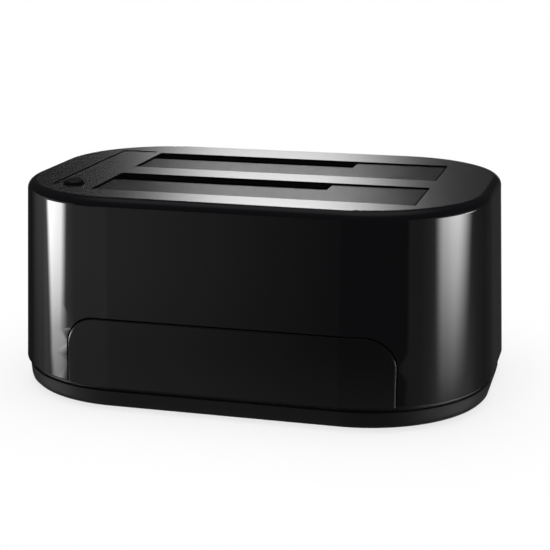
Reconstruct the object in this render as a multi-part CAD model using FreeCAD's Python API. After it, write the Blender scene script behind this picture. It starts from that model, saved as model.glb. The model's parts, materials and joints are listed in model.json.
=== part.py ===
import FreeCAD, Part
import math
import os

from FreeCAD import Vector

# A dual-bay hard drive docking station. Millimetres, +X to the right, +Y to the back, +Z up.
# The origin is the middle of the footprint, on the surface that the feet stand on.

# Outer body: a tall rounded block whose walls lean outwards towards the bottom. Its length and
# depth follow from the slots and from how far its ends and sides stand beyond them.
BODY_HEIGHT = 67.3
FOOT_STAND = 1.0
BUTTON_END = 29.4
PLAIN_END = 20.0
FRONT_MARGIN = 13.8
BACK_MARGIN = 18.5
FRONT_CORNER_R = 39.8
REAR_CORNER_R = 36.9
WALL_DRAFT_DEG = 2.42
TOP_EDGE_R = 3.0
SHELL_WALL = 2.2
TOP_WALL = 2.2
SHELL_RIM_BEVEL = 0.4

# Seam between the shell and the base tray, heights above the underside of the tray
SEAM_HEIGHT = 7.2
REVEAL_HEIGHT = 1.4
REVEAL_INSET = 1.7
TRAY_TOP_INSET = 1.0
TRAY_BOTTOM_INSET = 1.5
TRAY_BOTTOM_R = 2.0
TRAY_ROUND_STEPS = 3
TRAY_TOP_BEVEL = 0.4
TRAY_FLOOR = 2.0
TRAY_WALL_INSET = 4.0
TONGUE_HEIGHT = 2.6
TONGUE_GAP = 0.2

# Drive slots: the opening of each is a 3.5 inch drive plus clearance, with a 2.5 inch notch
SLOT_LENGTH = 104.0
SLOT_DEPTH = 28.5
SLOT_BRIDGE = 11.9
NOTCH_LENGTH = 72.2
NOTCH_DEPTH = 9.3

# Flaps, hinged along the front long edge of each slot
FLAP_RECESS = 0.5
FLAP_THICKNESS = 2.0
FLAP_SIDE_GAP = 0.5
FLAP_END_GAP = 0.6
FLAP_EDGE_R = 0.35
HINGE_SETBACK = 3.2
KNUCKLE_R = 1.7
KNUCKLE_LENGTH = 8.0
HINGE_PIN_R = 0.8
PIN_SEAT_CLEARANCE = 0.03
PIN_RUNNING_CLEARANCE = 0.08
EAR_THICKNESS = 2.0
EAR_INSET = 8.0
EAR_GAP = 0.4
ARM_REACH = 8.0
ARM_TIP = 0.4
HINGE_TOP_GAP = 0.3

# Torsion springs on the flap pins
SPRING_WIRE_R = 0.22
SPRING_TOUCH_GAP = 0.03
SPRING_TURNS = 3
SPRING_STEPS = 12
SPRING_SIDES = 6
SPRING_PITCH = 0.56
SPRING_LEG = 7.0

# Bay frames, the inner wells that guide the drives
BAY_WALL = 1.6
BAY_FLOOR = 1.6
BAY_SIDE_CLEARANCE = 0.3
BAY_POCKET = 5.6
BAY_FLOOR_HEIGHT = 20.6
BAY_PANEL_GAP = 0.3
LEG_HALF = 2.6
LEG_INSET_X = 1.0
LEG_INSET_Y = 1.6
LEG_PAD_MARGIN = 1.0
GUIDE_RIB_WIDTH = 1.2
GUIDE_RIB_STAND = 0.5
GUIDE_RIB_COUNT = 4

# Main board and what stands on it
BOARD_THICKNESS = 1.6
BOARD_TOP_Z = 13.0
BOARD_LEFT_INSET = 4.9
BOARD_RIGHT_INSET = 5.1
BOARD_FRONT_INSET = 14.6
BOARD_BACK_GAP = 3.3
BOARD_POST_R = 2.6
BOARD_CORNER_INSET = 4.2
BOARD_HOLE_R = 1.7

# Components on the main board: place along X from the middle of the free stretch beside the
# receptacles, place along Y, then length, width and height
BRIDGE_CHIP = (-4.5, -14.0, 14.0, 14.0, 1.4)
MEMORY_CHIP = (-4.5, 10.0, 5.0, 6.0, 1.6)
CLOCK_CRYSTAL = (9.5, -14.0, 4.6, 11.0, 3.4)
POWER_INDUCTOR = (13.5, 18.0, 7.4, 7.4, 4.2)
PACKAGE_BEVEL = 0.3
CAPACITOR_XS = (-16.5, 13.5)
CAPACITOR_YS = (-26.0, 3.0)
CAPACITOR_R = 3.2
CAPACITOR_HEIGHT = 5.6
CAPACITOR_FOOT = 0.8
CAPACITOR_FOOT_MARGIN = 0.16

# 22-contact drive receptacles
RECEPTACLE_LENGTH = 37.6
RECEPTACLE_DEPTH = 5.6
RECEPTACLE_HEIGHT = 9.0
RECEPTACLE_INSET_X = 6.0
RECEPTACLE_BACK_SETBACK = 4.6
RECEPTACLE_WINDOW_GAP = 0.6
RECEPTACLE_BEVEL = 0.4
TONGUE_SLOT_WIDTH = 2.4
TONGUE_SLOT_FLOOR = 2.6
SIGNAL_SLOT_START = 2.4
SIGNAL_SLOT_LENGTH = 10.8
POWER_SLOT_START = 15.0
POWER_SLOT_LENGTH = 20.6
KEY_LENGTH = 1.3
KEY_REACH = 1.2
CONTACT_PITCH = 1.27
CONTACT_WIDTH = 0.5
CONTACT_THICKNESS = 0.3
CONTACT_TOP_GAP = 1.2
SIGNAL_CONTACTS = 7
POWER_CONTACTS = 15

# Arched blank insert in the front
PANEL_CENTRE_X = 1.3
PANEL_HALF_WIDTH = 52.7
PANEL_HEIGHT = 29.0
PANEL_CORNER_R = 10.0
PANEL_GAP = 0.4
PANEL_EDGE_R = 0.5
PANEL_FLANGE = 2.4
PANEL_FLANGE_THICKNESS = 1.2
PANEL_FLANGE_GAP = 0.1
PANEL_CORE_INSET = 1.0

# Indicator strip and button at the left end of the top
STRIP_TO_SLOT = 8.6
STRIP_HALF_WIDTH = 6.5
STRIP_BACK_INSET = 16.2
STRIP_BACK_R = 1.8
STRIP_POCKET = 1.1
STRIP_THICKNESS = 0.85
STRIP_GAP = 0.3
BUTTON_INSET = 21.3
BUTTON_R = 3.25
BUTTON_GAP = 0.3
BUTTON_PROUD = 1.1
BUTTON_BEVEL = 0.4
BUTTON_TRAVEL = 0.5
BUTTON_COLLAR_R = 5.0
BUTTON_COLLAR_LENGTH = 2.9
BUTTON_FLANGE_R = 4.6
BUTTON_FLANGE_THICKNESS = 1.0
BUTTON_STOP_GAP = 0.2
BUTTON_TIP_R = 1.5
BUTTON_TIP_LENGTH = 0.8

# Button board, its switch, lights and light pipes
SWITCH_SIDE = 6.0
SWITCH_HEIGHT = 3.5
PLUNGER_R = 1.75
PLUNGER_STAND = 0.9
PLUNGER_BORE_DEPTH = 1.6
BUTTON_BOARD_THICKNESS = 1.2
BUTTON_BOARD_HALF_WIDTH = 4.5
BUTTON_BOARD_MARGIN = 5.2
LIGHT_COUNT = 5
LAST_SCREW_INSET = 8.4
BUTTON_TO_LIGHT = 15.3
LIGHT_PIPE_HALF = 0.9
LIGHT_PIPE_FIT = 0.1
LIGHT_PIPE_FLANGE_HALF = 1.7
LIGHT_PIPE_FLANGE = 0.8
LIGHT_LENGTH = 3.2
LIGHT_WIDTH = 2.0
LIGHT_HEIGHT = 1.2
LIGHT_BEVEL = 0.4
LIGHT_PIPE_GAP = 0.4
SMALL_BOSS_R = 2.2

# Ribbon cable from the button board down to the main board
RIBBON_WIDTH = 8.0
RIBBON_THICKNESS = 0.8
RIBBON_TO_RECEPTACLE = 11.5
RIBBON_BEND_R = 5.0
RIBBON_SOCKET_LENGTH = 5.6
RIBBON_SOCKET_HEIGHT = 3.2
RIBBON_SOCKET_MARGIN = 1.2
RIBBON_ENTRY = 1.5

# Recess in the back that holds the ports, each placed by its share of the recess's half width
PORT_BAY_REACH = 0.2
PORT_BAY_LOW_Z = 12.2
PORT_BAY_HIGH_Z = 30.5
PORT_BAY_CORNER_R = 3.0
PORT_FACE_INSET = 0.7
PORT_PAD_MARGIN = 1.2
PORT_GAP = 0.3
PORT_FLUSH = 0.2

# Data port
USB_SHARE = 0.1
USB_WIDTH = 12.0
USB_HEIGHT = 13.0
USB_DEPTH = 15.4
USB_SHIELD = 0.35
USB_BACK = 2.4
USB_TONGUE_WIDTH = 5.6
USB_TONGUE_HEIGHT = 3.2
USB_TONGUE_LIFT = 2.6
USB_TONGUE_SETBACK = 1.6
USB_UPPER_TONGUE_WIDTH = 5.0
USB_UPPER_TONGUE_HEIGHT = 1.2
USB_UPPER_TONGUE_LIFT = 9.2

# Power inlet
DC_SHARE = 0.725
DC_WIDTH = 9.0
DC_HEIGHT = 11.0
DC_DEPTH = 11.5
DC_AXIS_LIFT = 6.6
DC_COLLAR_R = 4.0
DC_BORE_R = 3.15
DC_BORE_DEPTH = 9.5
DC_PIN_R = 1.05
DC_PIN_SETBACK = 1.0
DC_PIN_ROOT = 1.0
DC_WALL_GAP = 0.15

# Power switch
SWITCH_SHARE = -0.65
ROCKER_HOUSING_HALF_LENGTH = 6.7
ROCKER_HOUSING_HALF_HEIGHT = 4.1
ROCKER_HOUSING_WALL = 0.9
ROCKER_BEZEL_MARGIN = 0.9
ROCKER_BEZEL_THICKNESS = 1.2
ROCKER_BEZEL_BEVEL = 0.4
ROCKER_HOUSING_DEPTH = 10.5
ROCKER_PIVOT_DEPTH = 1.9
ROCKER_HALF_LENGTH = 5.9
ROCKER_END_PROUD = 0.7
ROCKER_HALF_HEIGHT = 3.75
ROCKER_TILT_DEG = 9.0
ROCKER_BARREL_R = 5.6
ROCKER_STUB_R = 0.9
ROCKER_STUB_LENGTH = 0.9
ROCKER_STUB_CLEARANCE = 0.06
ROCKER_STUB_WALL = 0.13
ROCKER_AXIS_Z = 20.6
TERMINAL_COUNT = 3
TERMINAL_PITCH = 4.0
TERMINAL_WIDTH = 1.2
TERMINAL_THICKNESS = 0.5
TERMINAL_SETBACK = 1.0

# Case screws, their bosses and the feet
CASE_SCREW_INSET = 10.1
CASE_SCREW_Y = 20.0
CASE_BOSS_R = 3.4
CASE_BOSS_BOTTOM_Z = 12.0
CASE_RIB = 1.6
SCREW_R = 1.3
SCREW_HEAD_R = 2.5
SCREW_HEAD = 1.6
SCREW_SEAT = 0.05
SCREW_SHANK = 12.0
SCREW_CLEARANCE_R = 1.6
SCREW_TIP_GAP = 1.0
COUNTERBORE_R = 3.0
COUNTERBORE_DEPTH = 4.6
FRAME_COUNTERBORE_DEPTH = 2.4
FRAME_PAD = 2.0
SMALL_SCREW_R = 0.9
SMALL_SCREW_HEAD_R = 1.9
SMALL_SCREW_HEAD = 1.2
SMALL_SCREW_SHANK = 5.0
FOOT_R = 5.0
FOOT_POCKET = 1.0
FOOT_POCKET_GAP = 0.3
FOOT_INSET_X = 22.7
FOOT_INSET_Y = 20.6

# Air slots in the floor of the tray
VENT_COUNT = 9
VENT_PITCH = 6.0
VENT_LENGTH = 22.0
VENT_WIDTH = 2.4

# Levels and places that follow from the sizes above
BASE_Z = FOOT_STAND
TOP_Z = BASE_Z + BODY_HEIGHT
SEAM_Z = BASE_Z + SEAM_HEIGHT
TRAY_TOP_Z = SEAM_Z - REVEAL_HEIGHT
TRAY_FLOOR_Z = BASE_Z + TRAY_FLOOR
ROOF_Z = TOP_Z - TOP_WALL
DRAFT = math.tan(math.radians(WALL_DRAFT_DEG))
SLOT_PITCH = SLOT_DEPTH + SLOT_BRIDGE
TOP_HALF_LENGTH = (BUTTON_END + SLOT_LENGTH + PLAIN_END) / 2
TOP_HALF_DEPTH = (FRONT_MARGIN + SLOT_PITCH + SLOT_DEPTH + BACK_MARGIN) / 2
SLOT_LEFT_X = BUTTON_END - TOP_HALF_LENGTH
SLOT_RIGHT_X = SLOT_LEFT_X + SLOT_LENGTH
FRONT_SLOT_Y = FRONT_MARGIN - TOP_HALF_DEPTH
SLOT_YS = {"front": FRONT_SLOT_Y, "rear": FRONT_SLOT_Y + SLOT_PITCH}
STRIP_CENTRE_X = SLOT_LEFT_X - STRIP_TO_SLOT
STRIP_BACK_Y = TOP_HALF_DEPTH - STRIP_BACK_INSET
BUTTON_Y = BUTTON_INSET - TOP_HALF_DEPTH
FIRST_LIGHT_Y = BUTTON_Y + BUTTON_TO_LIGHT
LIGHT_PITCH = (STRIP_BACK_Y - LAST_SCREW_INSET - FIRST_LIGHT_Y) / LIGHT_COUNT
RIBBON_Y = SLOT_YS["rear"] + SLOT_DEPTH - RECEPTACLE_BACK_SETBACK - RIBBON_TO_RECEPTACLE
PORT_BAY_HALF_WIDTH = TOP_HALF_LENGTH - REAR_CORNER_R + PORT_BAY_REACH
PORT_FACE_Y = TOP_HALF_DEPTH - PORT_FACE_INSET
USB_X = USB_SHARE * PORT_BAY_HALF_WIDTH
DC_X = DC_SHARE * PORT_BAY_HALF_WIDTH
SWITCH_X = SWITCH_SHARE * PORT_BAY_HALF_WIDTH
CASE_SCREW_X = TOP_HALF_LENGTH - CASE_SCREW_INSET
FOOT_X = TOP_HALF_LENGTH - FOOT_INSET_X
FOOT_Y = TOP_HALF_DEPTH - FOOT_INSET_Y
BOARD_LEFT_X = SLOT_LEFT_X + BOARD_LEFT_INSET
BOARD_RIGHT_X = SLOT_RIGHT_X - BOARD_RIGHT_INSET
BOARD_FRONT_Y = BOARD_FRONT_INSET - TOP_HALF_DEPTH
BOARD_BACK_Y = PORT_FACE_Y - BOARD_BACK_GAP
FLAP_TOP_Z = TOP_Z - FLAP_RECESS
HINGE_Z = ROOF_Z - HINGE_TOP_GAP - KNUCKLE_R
FLAP_UNDER_Z = FLAP_TOP_Z - FLAP_THICKNESS
SPRING_COIL_R = FLAP_UNDER_Z - SPRING_TOUCH_GAP - SPRING_WIRE_R - HINGE_Z
BAY_SHELL_GAP = PANEL_FLANGE_GAP + PANEL_FLANGE_THICKNESS + BAY_PANEL_GAP
BOARD_UNDER_Z = BOARD_TOP_Z - BOARD_THICKNESS
RECEPTACLE_X = SLOT_LEFT_X + RECEPTACLE_INSET_X
FREE_MIDDLE_X = (RECEPTACLE_X + RECEPTACLE_LENGTH + SLOT_RIGHT_X) / 2
COLLAR_Z = ROOF_Z - BUTTON_COLLAR_LENGTH
BUTTON_FLANGE_Z = COLLAR_Z - BUTTON_STOP_GAP
BUTTON_TIP_Z = BUTTON_FLANGE_Z - BUTTON_FLANGE_THICKNESS - BUTTON_TIP_LENGTH
BUTTON_BOARD_Z = BUTTON_TIP_Z - PLUNGER_STAND - SWITCH_HEIGHT
LIGHT_YS = [FIRST_LIGHT_Y + LIGHT_PITCH * i for i in range(LIGHT_COUNT)]
BUTTON_SCREW_YS = [FIRST_LIGHT_Y - LIGHT_PITCH, FIRST_LIGHT_Y + LIGHT_PITCH * LIGHT_COUNT]
PANEL_TOP_Z = BASE_Z + PANEL_HEIGHT
FAR = 200.0


def box(x0, x1, y0, y1, z0, z1):
    """Straight block between two corners."""
    return Part.makeBox(x1 - x0, y1 - y0, z1 - z0, Vector(x0, y0, z0))


def post(x, y, r, z0, z1):
    """Upright round post."""
    return Part.makeCylinder(r, z1 - z0, Vector(x, y, z0))


def square_post(x, y, half, z0, z1):
    """Upright square post round a middle point."""
    return box(x - half, x + half, y - half, y + half, z0, z1)


def bar_x(y, z, r, x0, x1):
    """Round bar along X."""
    return Part.makeCylinder(r, x1 - x0, Vector(x0, y, z), Vector(1, 0, 0))


def bar_y(x, z, r, y0, y1):
    """Round bar along Y."""
    return Part.makeCylinder(r, y1 - y0, Vector(x, y0, z), Vector(0, 1, 0))


def joined(first, others):
    """One solid from several that touch or overlap."""
    return first.fuse(others).removeSplitter()


def path_wire(start, steps):
    """Wire from a start point through straight steps (end,) and arc steps (middle, end)."""
    edges = []
    here = start
    for step in steps:
        if len(step) == 1:
            edges.append(Part.LineSegment(here, step[0]).toShape())
        else:
            edges.append(Part.Arc(here, step[0], step[1]).toShape())
        here = step[-1]
    return Part.Wire(edges)


def rounded_rectangle(u0, u1, v0, v1, radii, place):
    """Closed wire of a rectangle with its own radius at each corner.

    The corners go lower left, lower right, upper right, upper left, and place turns a
    pair of numbers into a point. A radius of 0 leaves a square corner.
    """
    corners = [(u0, v0, 180), (u1, v0, 270), (u1, v1, 0), (u0, v1, 90)]
    inward = [(1, 1), (-1, 1), (-1, -1), (1, -1)]
    edges = []
    ends = []
    for (u, v, angle), (du, dv), r in zip(corners, inward, radii):
        points = []
        for turn in (0, 45, 90):
            a = math.radians(angle + turn)
            points.append(place(u + du * r + r * math.cos(a), v + dv * r + r * math.sin(a)))
        if r > 0:
            edges.append(Part.Arc(*points).toShape())
        ends.append((points[0], points[2], len(edges)))
    for i in range(4):
        a = ends[i][1]
        b = ends[(i + 1) % 4][0]
        if a.distanceToPoint(b) > 1e-6:
            edges.append(Part.LineSegment(a, b).toShape())
    return Part.Wire(Part.__sortEdges__(edges))


def prism(wire, direction):
    """Solid swept straight from a closed flat wire."""
    return Part.Face(wire).extrude(direction)


def plan_points(z, grow):
    """Corners of the leaning body's plan at one height, with each round corner's centre.

    Each round corner is left out as a square notch whose inner corner is its centre.
    """
    points = []
    for sx, sy in ((-1, -1), (1, -1), (1, 1), (-1, 1)):
        x, y, r = corner_centre(sx, sy)
        along = Vector(x, sy * (TOP_HALF_DEPTH + grow), z)
        beside = Vector(sx * (TOP_HALF_LENGTH + grow), y, z)
        notch = [along, Vector(x, y, z), beside]
        points += notch if sx * sy < 0 else notch[::-1]
    return points


def corner_centre(sx, sy):
    """Centre of one round corner of the plan, and its radius at the top of the wall."""
    r = FRONT_CORNER_R if sy < 0 else REAR_CORNER_R
    return sx * (TOP_HALF_LENGTH - r), sy * (TOP_HALF_DEPTH - r), r


def body_block(z0, z1, inset_low, inset_high=None):
    """Solid between two heights whose walls follow the leaning body, moved in by an inset."""
    high = inset_low if inset_high is None else inset_high
    grow_low = (TOP_Z - TOP_EDGE_R - z0) * DRAFT - inset_low
    grow_high = (TOP_Z - TOP_EDGE_R - z1) * DRAFT - high
    low_points = plan_points(z0, grow_low)
    high_points = plan_points(z1, grow_high)
    faces = [Part.Face(Part.makePolygon(points + points[:1])) for points in (low_points, high_points)]
    count = len(low_points)
    for i in range(count):
        j = (i + 1) % count
        quad = [low_points[i], low_points[j], high_points[j], high_points[i], low_points[i]]
        faces.append(Part.Face(Part.makePolygon(quad)))
    core = Part.Solid(Part.Shell(faces))
    corners = []
    for sx, sy, turn in ((1, 1, 0), (-1, 1, 90), (-1, -1, 180), (1, -1, 270)):
        x, y, r = corner_centre(sx, sy)
        cone = Part.makeCone(r + grow_low, r + grow_high, z1 - z0, Vector(0, 0, 0), Vector(0, 0, 1), 90)
        cone.rotate(Vector(0, 0, 0), Vector(0, 0, 1), turn)
        cone.translate(Vector(x, y, z0))
        corners.append(cone)
    return joined(core, corners)


def edges_at(shape, z):
    """Edges that lie at one height."""
    flat = []
    for edge in shape.Edges:
        bounds = edge.BoundBox
        if abs(bounds.ZMin - z) < 1e-4 and abs(bounds.ZMax - z) < 1e-4:
            flat.append(edge)
    return flat


def side_points(xs, ys):
    """Every pairing of two lists of coordinates."""
    return [(x, y) for x in xs for y in ys]


def case_points():
    return side_points((-CASE_SCREW_X, CASE_SCREW_X), (-CASE_SCREW_Y, CASE_SCREW_Y))


def leg_points(slot_y):
    xs = (SLOT_LEFT_X + LEG_INSET_X, SLOT_RIGHT_X - LEG_INSET_X)
    return side_points(xs, (slot_y - LEG_INSET_Y, slot_y + SLOT_DEPTH - LEG_INSET_Y))


def frame_screw_points(slot_y):
    """The two legs of a frame nearer the middle take a screw; the outer two rest on their pads."""
    return sorted(leg_points(slot_y), key=lambda point: abs(point[1]))[:2]


def board_screw_points():
    xs = (BOARD_LEFT_X + BOARD_CORNER_INSET, BOARD_RIGHT_X - BOARD_CORNER_INSET)
    return side_points(xs, (BOARD_FRONT_Y + BOARD_CORNER_INSET, BOARD_BACK_Y - BOARD_CORNER_INSET))


def foot_points():
    names = ("foot_left_front", "foot_left_rear", "foot_right_front", "foot_right_rear")
    return dict(zip(names, side_points((-FOOT_X, FOOT_X), (-FOOT_Y, FOOT_Y))))


def arch_prism(margin, low_z):
    """Arch of the front insert as a block through the front wall, grown by a margin."""
    half = PANEL_HALF_WIDTH + margin
    r = PANEL_CORNER_R + margin
    x0 = PANEL_CENTRE_X - half
    x1 = PANEL_CENTRE_X + half
    place = lambda x, z: Vector(x, -TOP_HALF_DEPTH * 1.3, z)
    wire = rounded_rectangle(x0, x1, low_z, PANEL_TOP_Z + margin, (0, 0, r, r), place)
    return prism(wire, Vector(0, TOP_HALF_DEPTH * 0.7, 0))


def port_prism(margin, y0, y1):
    """Rounded block of the port recess, grown by a margin."""
    r = PORT_BAY_CORNER_R + margin
    place = lambda x, z: Vector(x, y0, z)
    half = PORT_BAY_HALF_WIDTH + margin
    wire = rounded_rectangle(-half, half, PORT_BAY_LOW_Z - margin, PORT_BAY_HIGH_Z + margin,
                             (r, r, r, r), place)
    return prism(wire, Vector(0, y1 - y0, 0))


def strip_prism(margin, z0, z1):
    """Indicator strip outline, round about the button in front and nearly square behind."""
    half = STRIP_HALF_WIDTH + margin
    x0 = STRIP_CENTRE_X - half
    x1 = STRIP_CENTRE_X + half
    back = STRIP_BACK_R + margin
    place = lambda x, y: Vector(x, y, z0)
    wire = rounded_rectangle(x0, x1, BUTTON_Y - half, STRIP_BACK_Y + margin,
                             (half - 0.001, half - 0.001, back, back), place)
    return prism(wire, Vector(0, 0, z1 - z0))


def case_boss(x, y):
    """Screw boss that hangs from the roof, with a rib out to the side wall."""
    boss = post(x, y, CASE_BOSS_R, CASE_BOSS_BOTTOM_Z, ROOF_Z + TOP_WALL / 2)
    out = math.copysign(1, x)
    x_far = out * TOP_HALF_LENGTH
    rib = box(min(x, x_far), max(x, x_far), y - CASE_RIB / 2, y + CASE_RIB / 2,
              CASE_BOSS_BOTTOM_Z, ROOF_Z + TOP_WALL / 2)
    return boss.fuse(rib)


def port_cutouts():
    """Openings for the data port, power inlet and power switch in the recess floor."""
    y0 = PORT_FACE_Y - FAR / 10
    y1 = PORT_FACE_Y + FAR / 10
    usb = box(USB_X - USB_WIDTH / 2 - PORT_GAP, USB_X + USB_WIDTH / 2 + PORT_GAP, y0, y1,
              BOARD_TOP_Z - PORT_GAP, BOARD_TOP_Z + USB_HEIGHT + PORT_GAP)
    inlet = bar_y(DC_X, BOARD_TOP_Z + DC_AXIS_LIFT, DC_COLLAR_R + PORT_GAP, y0, y1)
    half = ROCKER_HOUSING_HALF_LENGTH + ROCKER_HOUSING_WALL + PORT_GAP
    tall = ROCKER_HOUSING_HALF_HEIGHT + ROCKER_HOUSING_WALL + PORT_GAP
    rocker = box(SWITCH_X - half, SWITCH_X + half, y0, y1, ROCKER_AXIS_Z - tall,
                 ROCKER_AXIS_Z + tall)
    return [usb, inlet, rocker]


def make_shell():
    """Gloss upper shell, open below, with all its openings, bosses and collars."""
    block = body_block(SEAM_Z, TOP_Z, 0)
    outer = block.makeFillet(TOP_EDGE_R, edges_at(block, TOP_Z))
    outer = outer.makeChamfer(SHELL_RIM_BEVEL, edges_at(outer, SEAM_Z))
    hollow = body_block(SEAM_Z - 1, ROOF_Z, SHELL_WALL)
    bosses = [case_boss(x, y).common(outer) for x, y in case_points()]
    pad = port_prism(PORT_PAD_MARGIN, PORT_FACE_Y - SHELL_WALL, PORT_FACE_Y + FAR / 10)
    collar = post(STRIP_CENTRE_X, BUTTON_Y, BUTTON_COLLAR_R, COLLAR_Z, ROOF_Z + TOP_WALL / 2)
    small = [post(STRIP_CENTRE_X, y, SMALL_BOSS_R, BUTTON_BOARD_Z, ROOF_Z + TOP_WALL / 2)
             for y in BUTTON_SCREW_YS]
    shell = joined(outer.cut(hollow), bosses + [pad.common(outer), collar] + small)
    cuts = [arch_prism(PANEL_GAP, SEAM_Z - 1), port_prism(0, PORT_FACE_Y, PORT_FACE_Y + FAR)]
    cuts += port_cutouts()
    for slot_y in SLOT_YS.values():
        cuts.append(box(SLOT_LEFT_X, SLOT_RIGHT_X, slot_y, slot_y + SLOT_DEPTH, ROOF_Z - 1, TOP_Z + 1))
    cuts.append(strip_prism(0, TOP_Z - STRIP_POCKET, TOP_Z + 1))
    cuts.append(post(STRIP_CENTRE_X, BUTTON_Y, BUTTON_R + BUTTON_GAP, COLLAR_Z - 1, TOP_Z + 1))
    for y in LIGHT_YS:
        cuts.append(square_post(STRIP_CENTRE_X, y, LIGHT_PIPE_HALF + LIGHT_PIPE_FIT, ROOF_Z - 1, TOP_Z))
    for x, y in case_points():
        cuts.append(post(x, y, SCREW_R + SCREW_SEAT, CASE_BOSS_BOTTOM_Z - 1,
                         CASE_BOSS_BOTTOM_Z + SCREW_SHANK))
    for y in BUTTON_SCREW_YS:
        cuts.append(post(STRIP_CENTRE_X, y, SMALL_SCREW_R + SCREW_SEAT, BUTTON_BOARD_Z - 1,
                         BUTTON_BOARD_Z + SMALL_SCREW_SHANK))
    return shell.cut(cuts)


def arch_edges(plate):
    """Outer edges of the insert along its arch, the bottom one left out."""
    deeper = body_block(SEAM_Z - 1, TOP_Z + 1, SHELL_WALL / 2)
    middle = arch_prism(-PANEL_GAP, SEAM_Z - 1)
    picked = []
    for edge in plate.Edges:
        at = edge.valueAt((edge.FirstParameter + edge.LastParameter) / 2)
        on_rim = not deeper.isInside(at, 1e-6, True) and not middle.isInside(at, 1e-6, True)
        if on_rim and at.z > SEAM_Z + PANEL_GAP:
            picked.append(edge)
    return picked


def make_front_panel():
    """Blank arched insert that continues the front wall, with a flange behind the shell."""
    skin = body_block(SEAM_Z, TOP_Z, 0).cut(body_block(SEAM_Z - 1, TOP_Z + 1, SHELL_WALL))
    plate = skin.common(arch_prism(0, SEAM_Z - 1))
    plate = plate.makeFillet(PANEL_EDGE_R, arch_edges(plate))
    front = body_block(SEAM_Z, TOP_Z, SHELL_WALL + PANEL_FLANGE_GAP)
    back = body_block(SEAM_Z - 1, TOP_Z + 1,
                      SHELL_WALL + PANEL_FLANGE_GAP + PANEL_FLANGE_THICKNESS)
    low_z = SEAM_Z + TONGUE_HEIGHT + TONGUE_GAP
    flange = front.cut(back).common(arch_prism(PANEL_FLANGE, low_z))
    core = body_block(SEAM_Z, TOP_Z, SHELL_WALL / 2).cut(back).common(arch_prism(-PANEL_CORE_INSET, low_z))
    return joined(plate, [flange, core])


def round_steps(r, inset):
    """Heights and insets that follow a quarter round in a few straight steps."""
    steps = []
    for i in range(TRAY_ROUND_STEPS + 1):
        a = math.radians(90 * i / TRAY_ROUND_STEPS)
        steps.append((BASE_Z + r - r * math.cos(a), inset + r - r * math.sin(a)))
    return steps


def make_tray():
    """Base tray: rounded underside, shoulder and tongue under the shell, posts and vents."""
    rounding = round_steps(TRAY_BOTTOM_R, TRAY_BOTTOM_INSET)
    start_z, start_inset = rounding[-1]
    pan = body_block(start_z, TRAY_TOP_Z, start_inset, TRAY_TOP_INSET)
    pan = pan.makeChamfer(TRAY_TOP_BEVEL, edges_at(pan, TRAY_TOP_Z))
    layers = [body_block(low[0], high[0], low[1], high[1]) for low, high in zip(rounding, rounding[1:])]
    band = body_block(TRAY_TOP_Z - 1, SEAM_Z, REVEAL_INSET)
    tongue = body_block(SEAM_Z - 1, SEAM_Z + TONGUE_HEIGHT, SHELL_WALL + TONGUE_GAP)
    hollow = body_block(TRAY_FLOOR_Z, SEAM_Z + TONGUE_HEIGHT + 1, TRAY_WALL_INSET)
    tray = joined(pan, layers + [band, tongue]).cut(hollow)
    posts = [post(x, y, CASE_BOSS_R, TRAY_FLOOR_Z - 1, CASE_BOSS_BOTTOM_Z) for x, y in case_points()]
    posts += [post(x, y, BOARD_POST_R, TRAY_FLOOR_Z - 1, BOARD_UNDER_Z) for x, y in board_screw_points()]
    cuts = []
    for slot_y in SLOT_YS.values():
        for x, y in leg_points(slot_y):
            posts.append(square_post(x, y, LEG_HALF + LEG_PAD_MARGIN, TRAY_FLOOR_Z - 1,
                                     TRAY_FLOOR_Z + FRAME_PAD))
        for x, y in frame_screw_points(slot_y):
            cuts.append(post(x, y, SCREW_CLEARANCE_R, BASE_Z - 1, TRAY_FLOOR_Z + FRAME_PAD + 1))
            cuts.append(post(x, y, COUNTERBORE_R, BASE_Z - 1, BASE_Z + FRAME_COUNTERBORE_DEPTH))
    for x, y in case_points():
        cuts.append(post(x, y, SCREW_CLEARANCE_R, BASE_Z - 1, CASE_BOSS_BOTTOM_Z + 1))
        cuts.append(post(x, y, COUNTERBORE_R, BASE_Z - 1, BASE_Z + COUNTERBORE_DEPTH))
    for x, y in board_screw_points():
        cuts.append(post(x, y, SMALL_SCREW_R + SCREW_SEAT, BOARD_UNDER_Z - SMALL_SCREW_SHANK, FAR))
    for x, y in foot_points().values():
        cuts.append(post(x, y, FOOT_R + FOOT_POCKET_GAP, BASE_Z - 1, BASE_Z + FOOT_POCKET))
    return joined(tray, posts).cut(cuts + vent_slots())


def vent_slots():
    """Row of air slots through the floor."""
    first = -VENT_PITCH * (VENT_COUNT - 1) / 2
    xs = [first + i * VENT_PITCH for i in range(VENT_COUNT)]
    return [box(x - VENT_WIDTH / 2, x + VENT_WIDTH / 2, -VENT_LENGTH / 2, VENT_LENGTH / 2, BASE_Z - 1,
                TRAY_FLOOR_Z + 1) for x in xs]


def receptacle_y(slot_y):
    """Middle of the drive receptacle under one slot."""
    return slot_y + SLOT_DEPTH - RECEPTACLE_BACK_SETBACK


def ear_spans():
    """The two stretches along X that the pin ears fill."""
    left = SLOT_LEFT_X + EAR_INSET
    right = SLOT_RIGHT_X - EAR_INSET
    return [(left, left + EAR_THICKNESS), (right - EAR_THICKNESS, right)]


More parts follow.
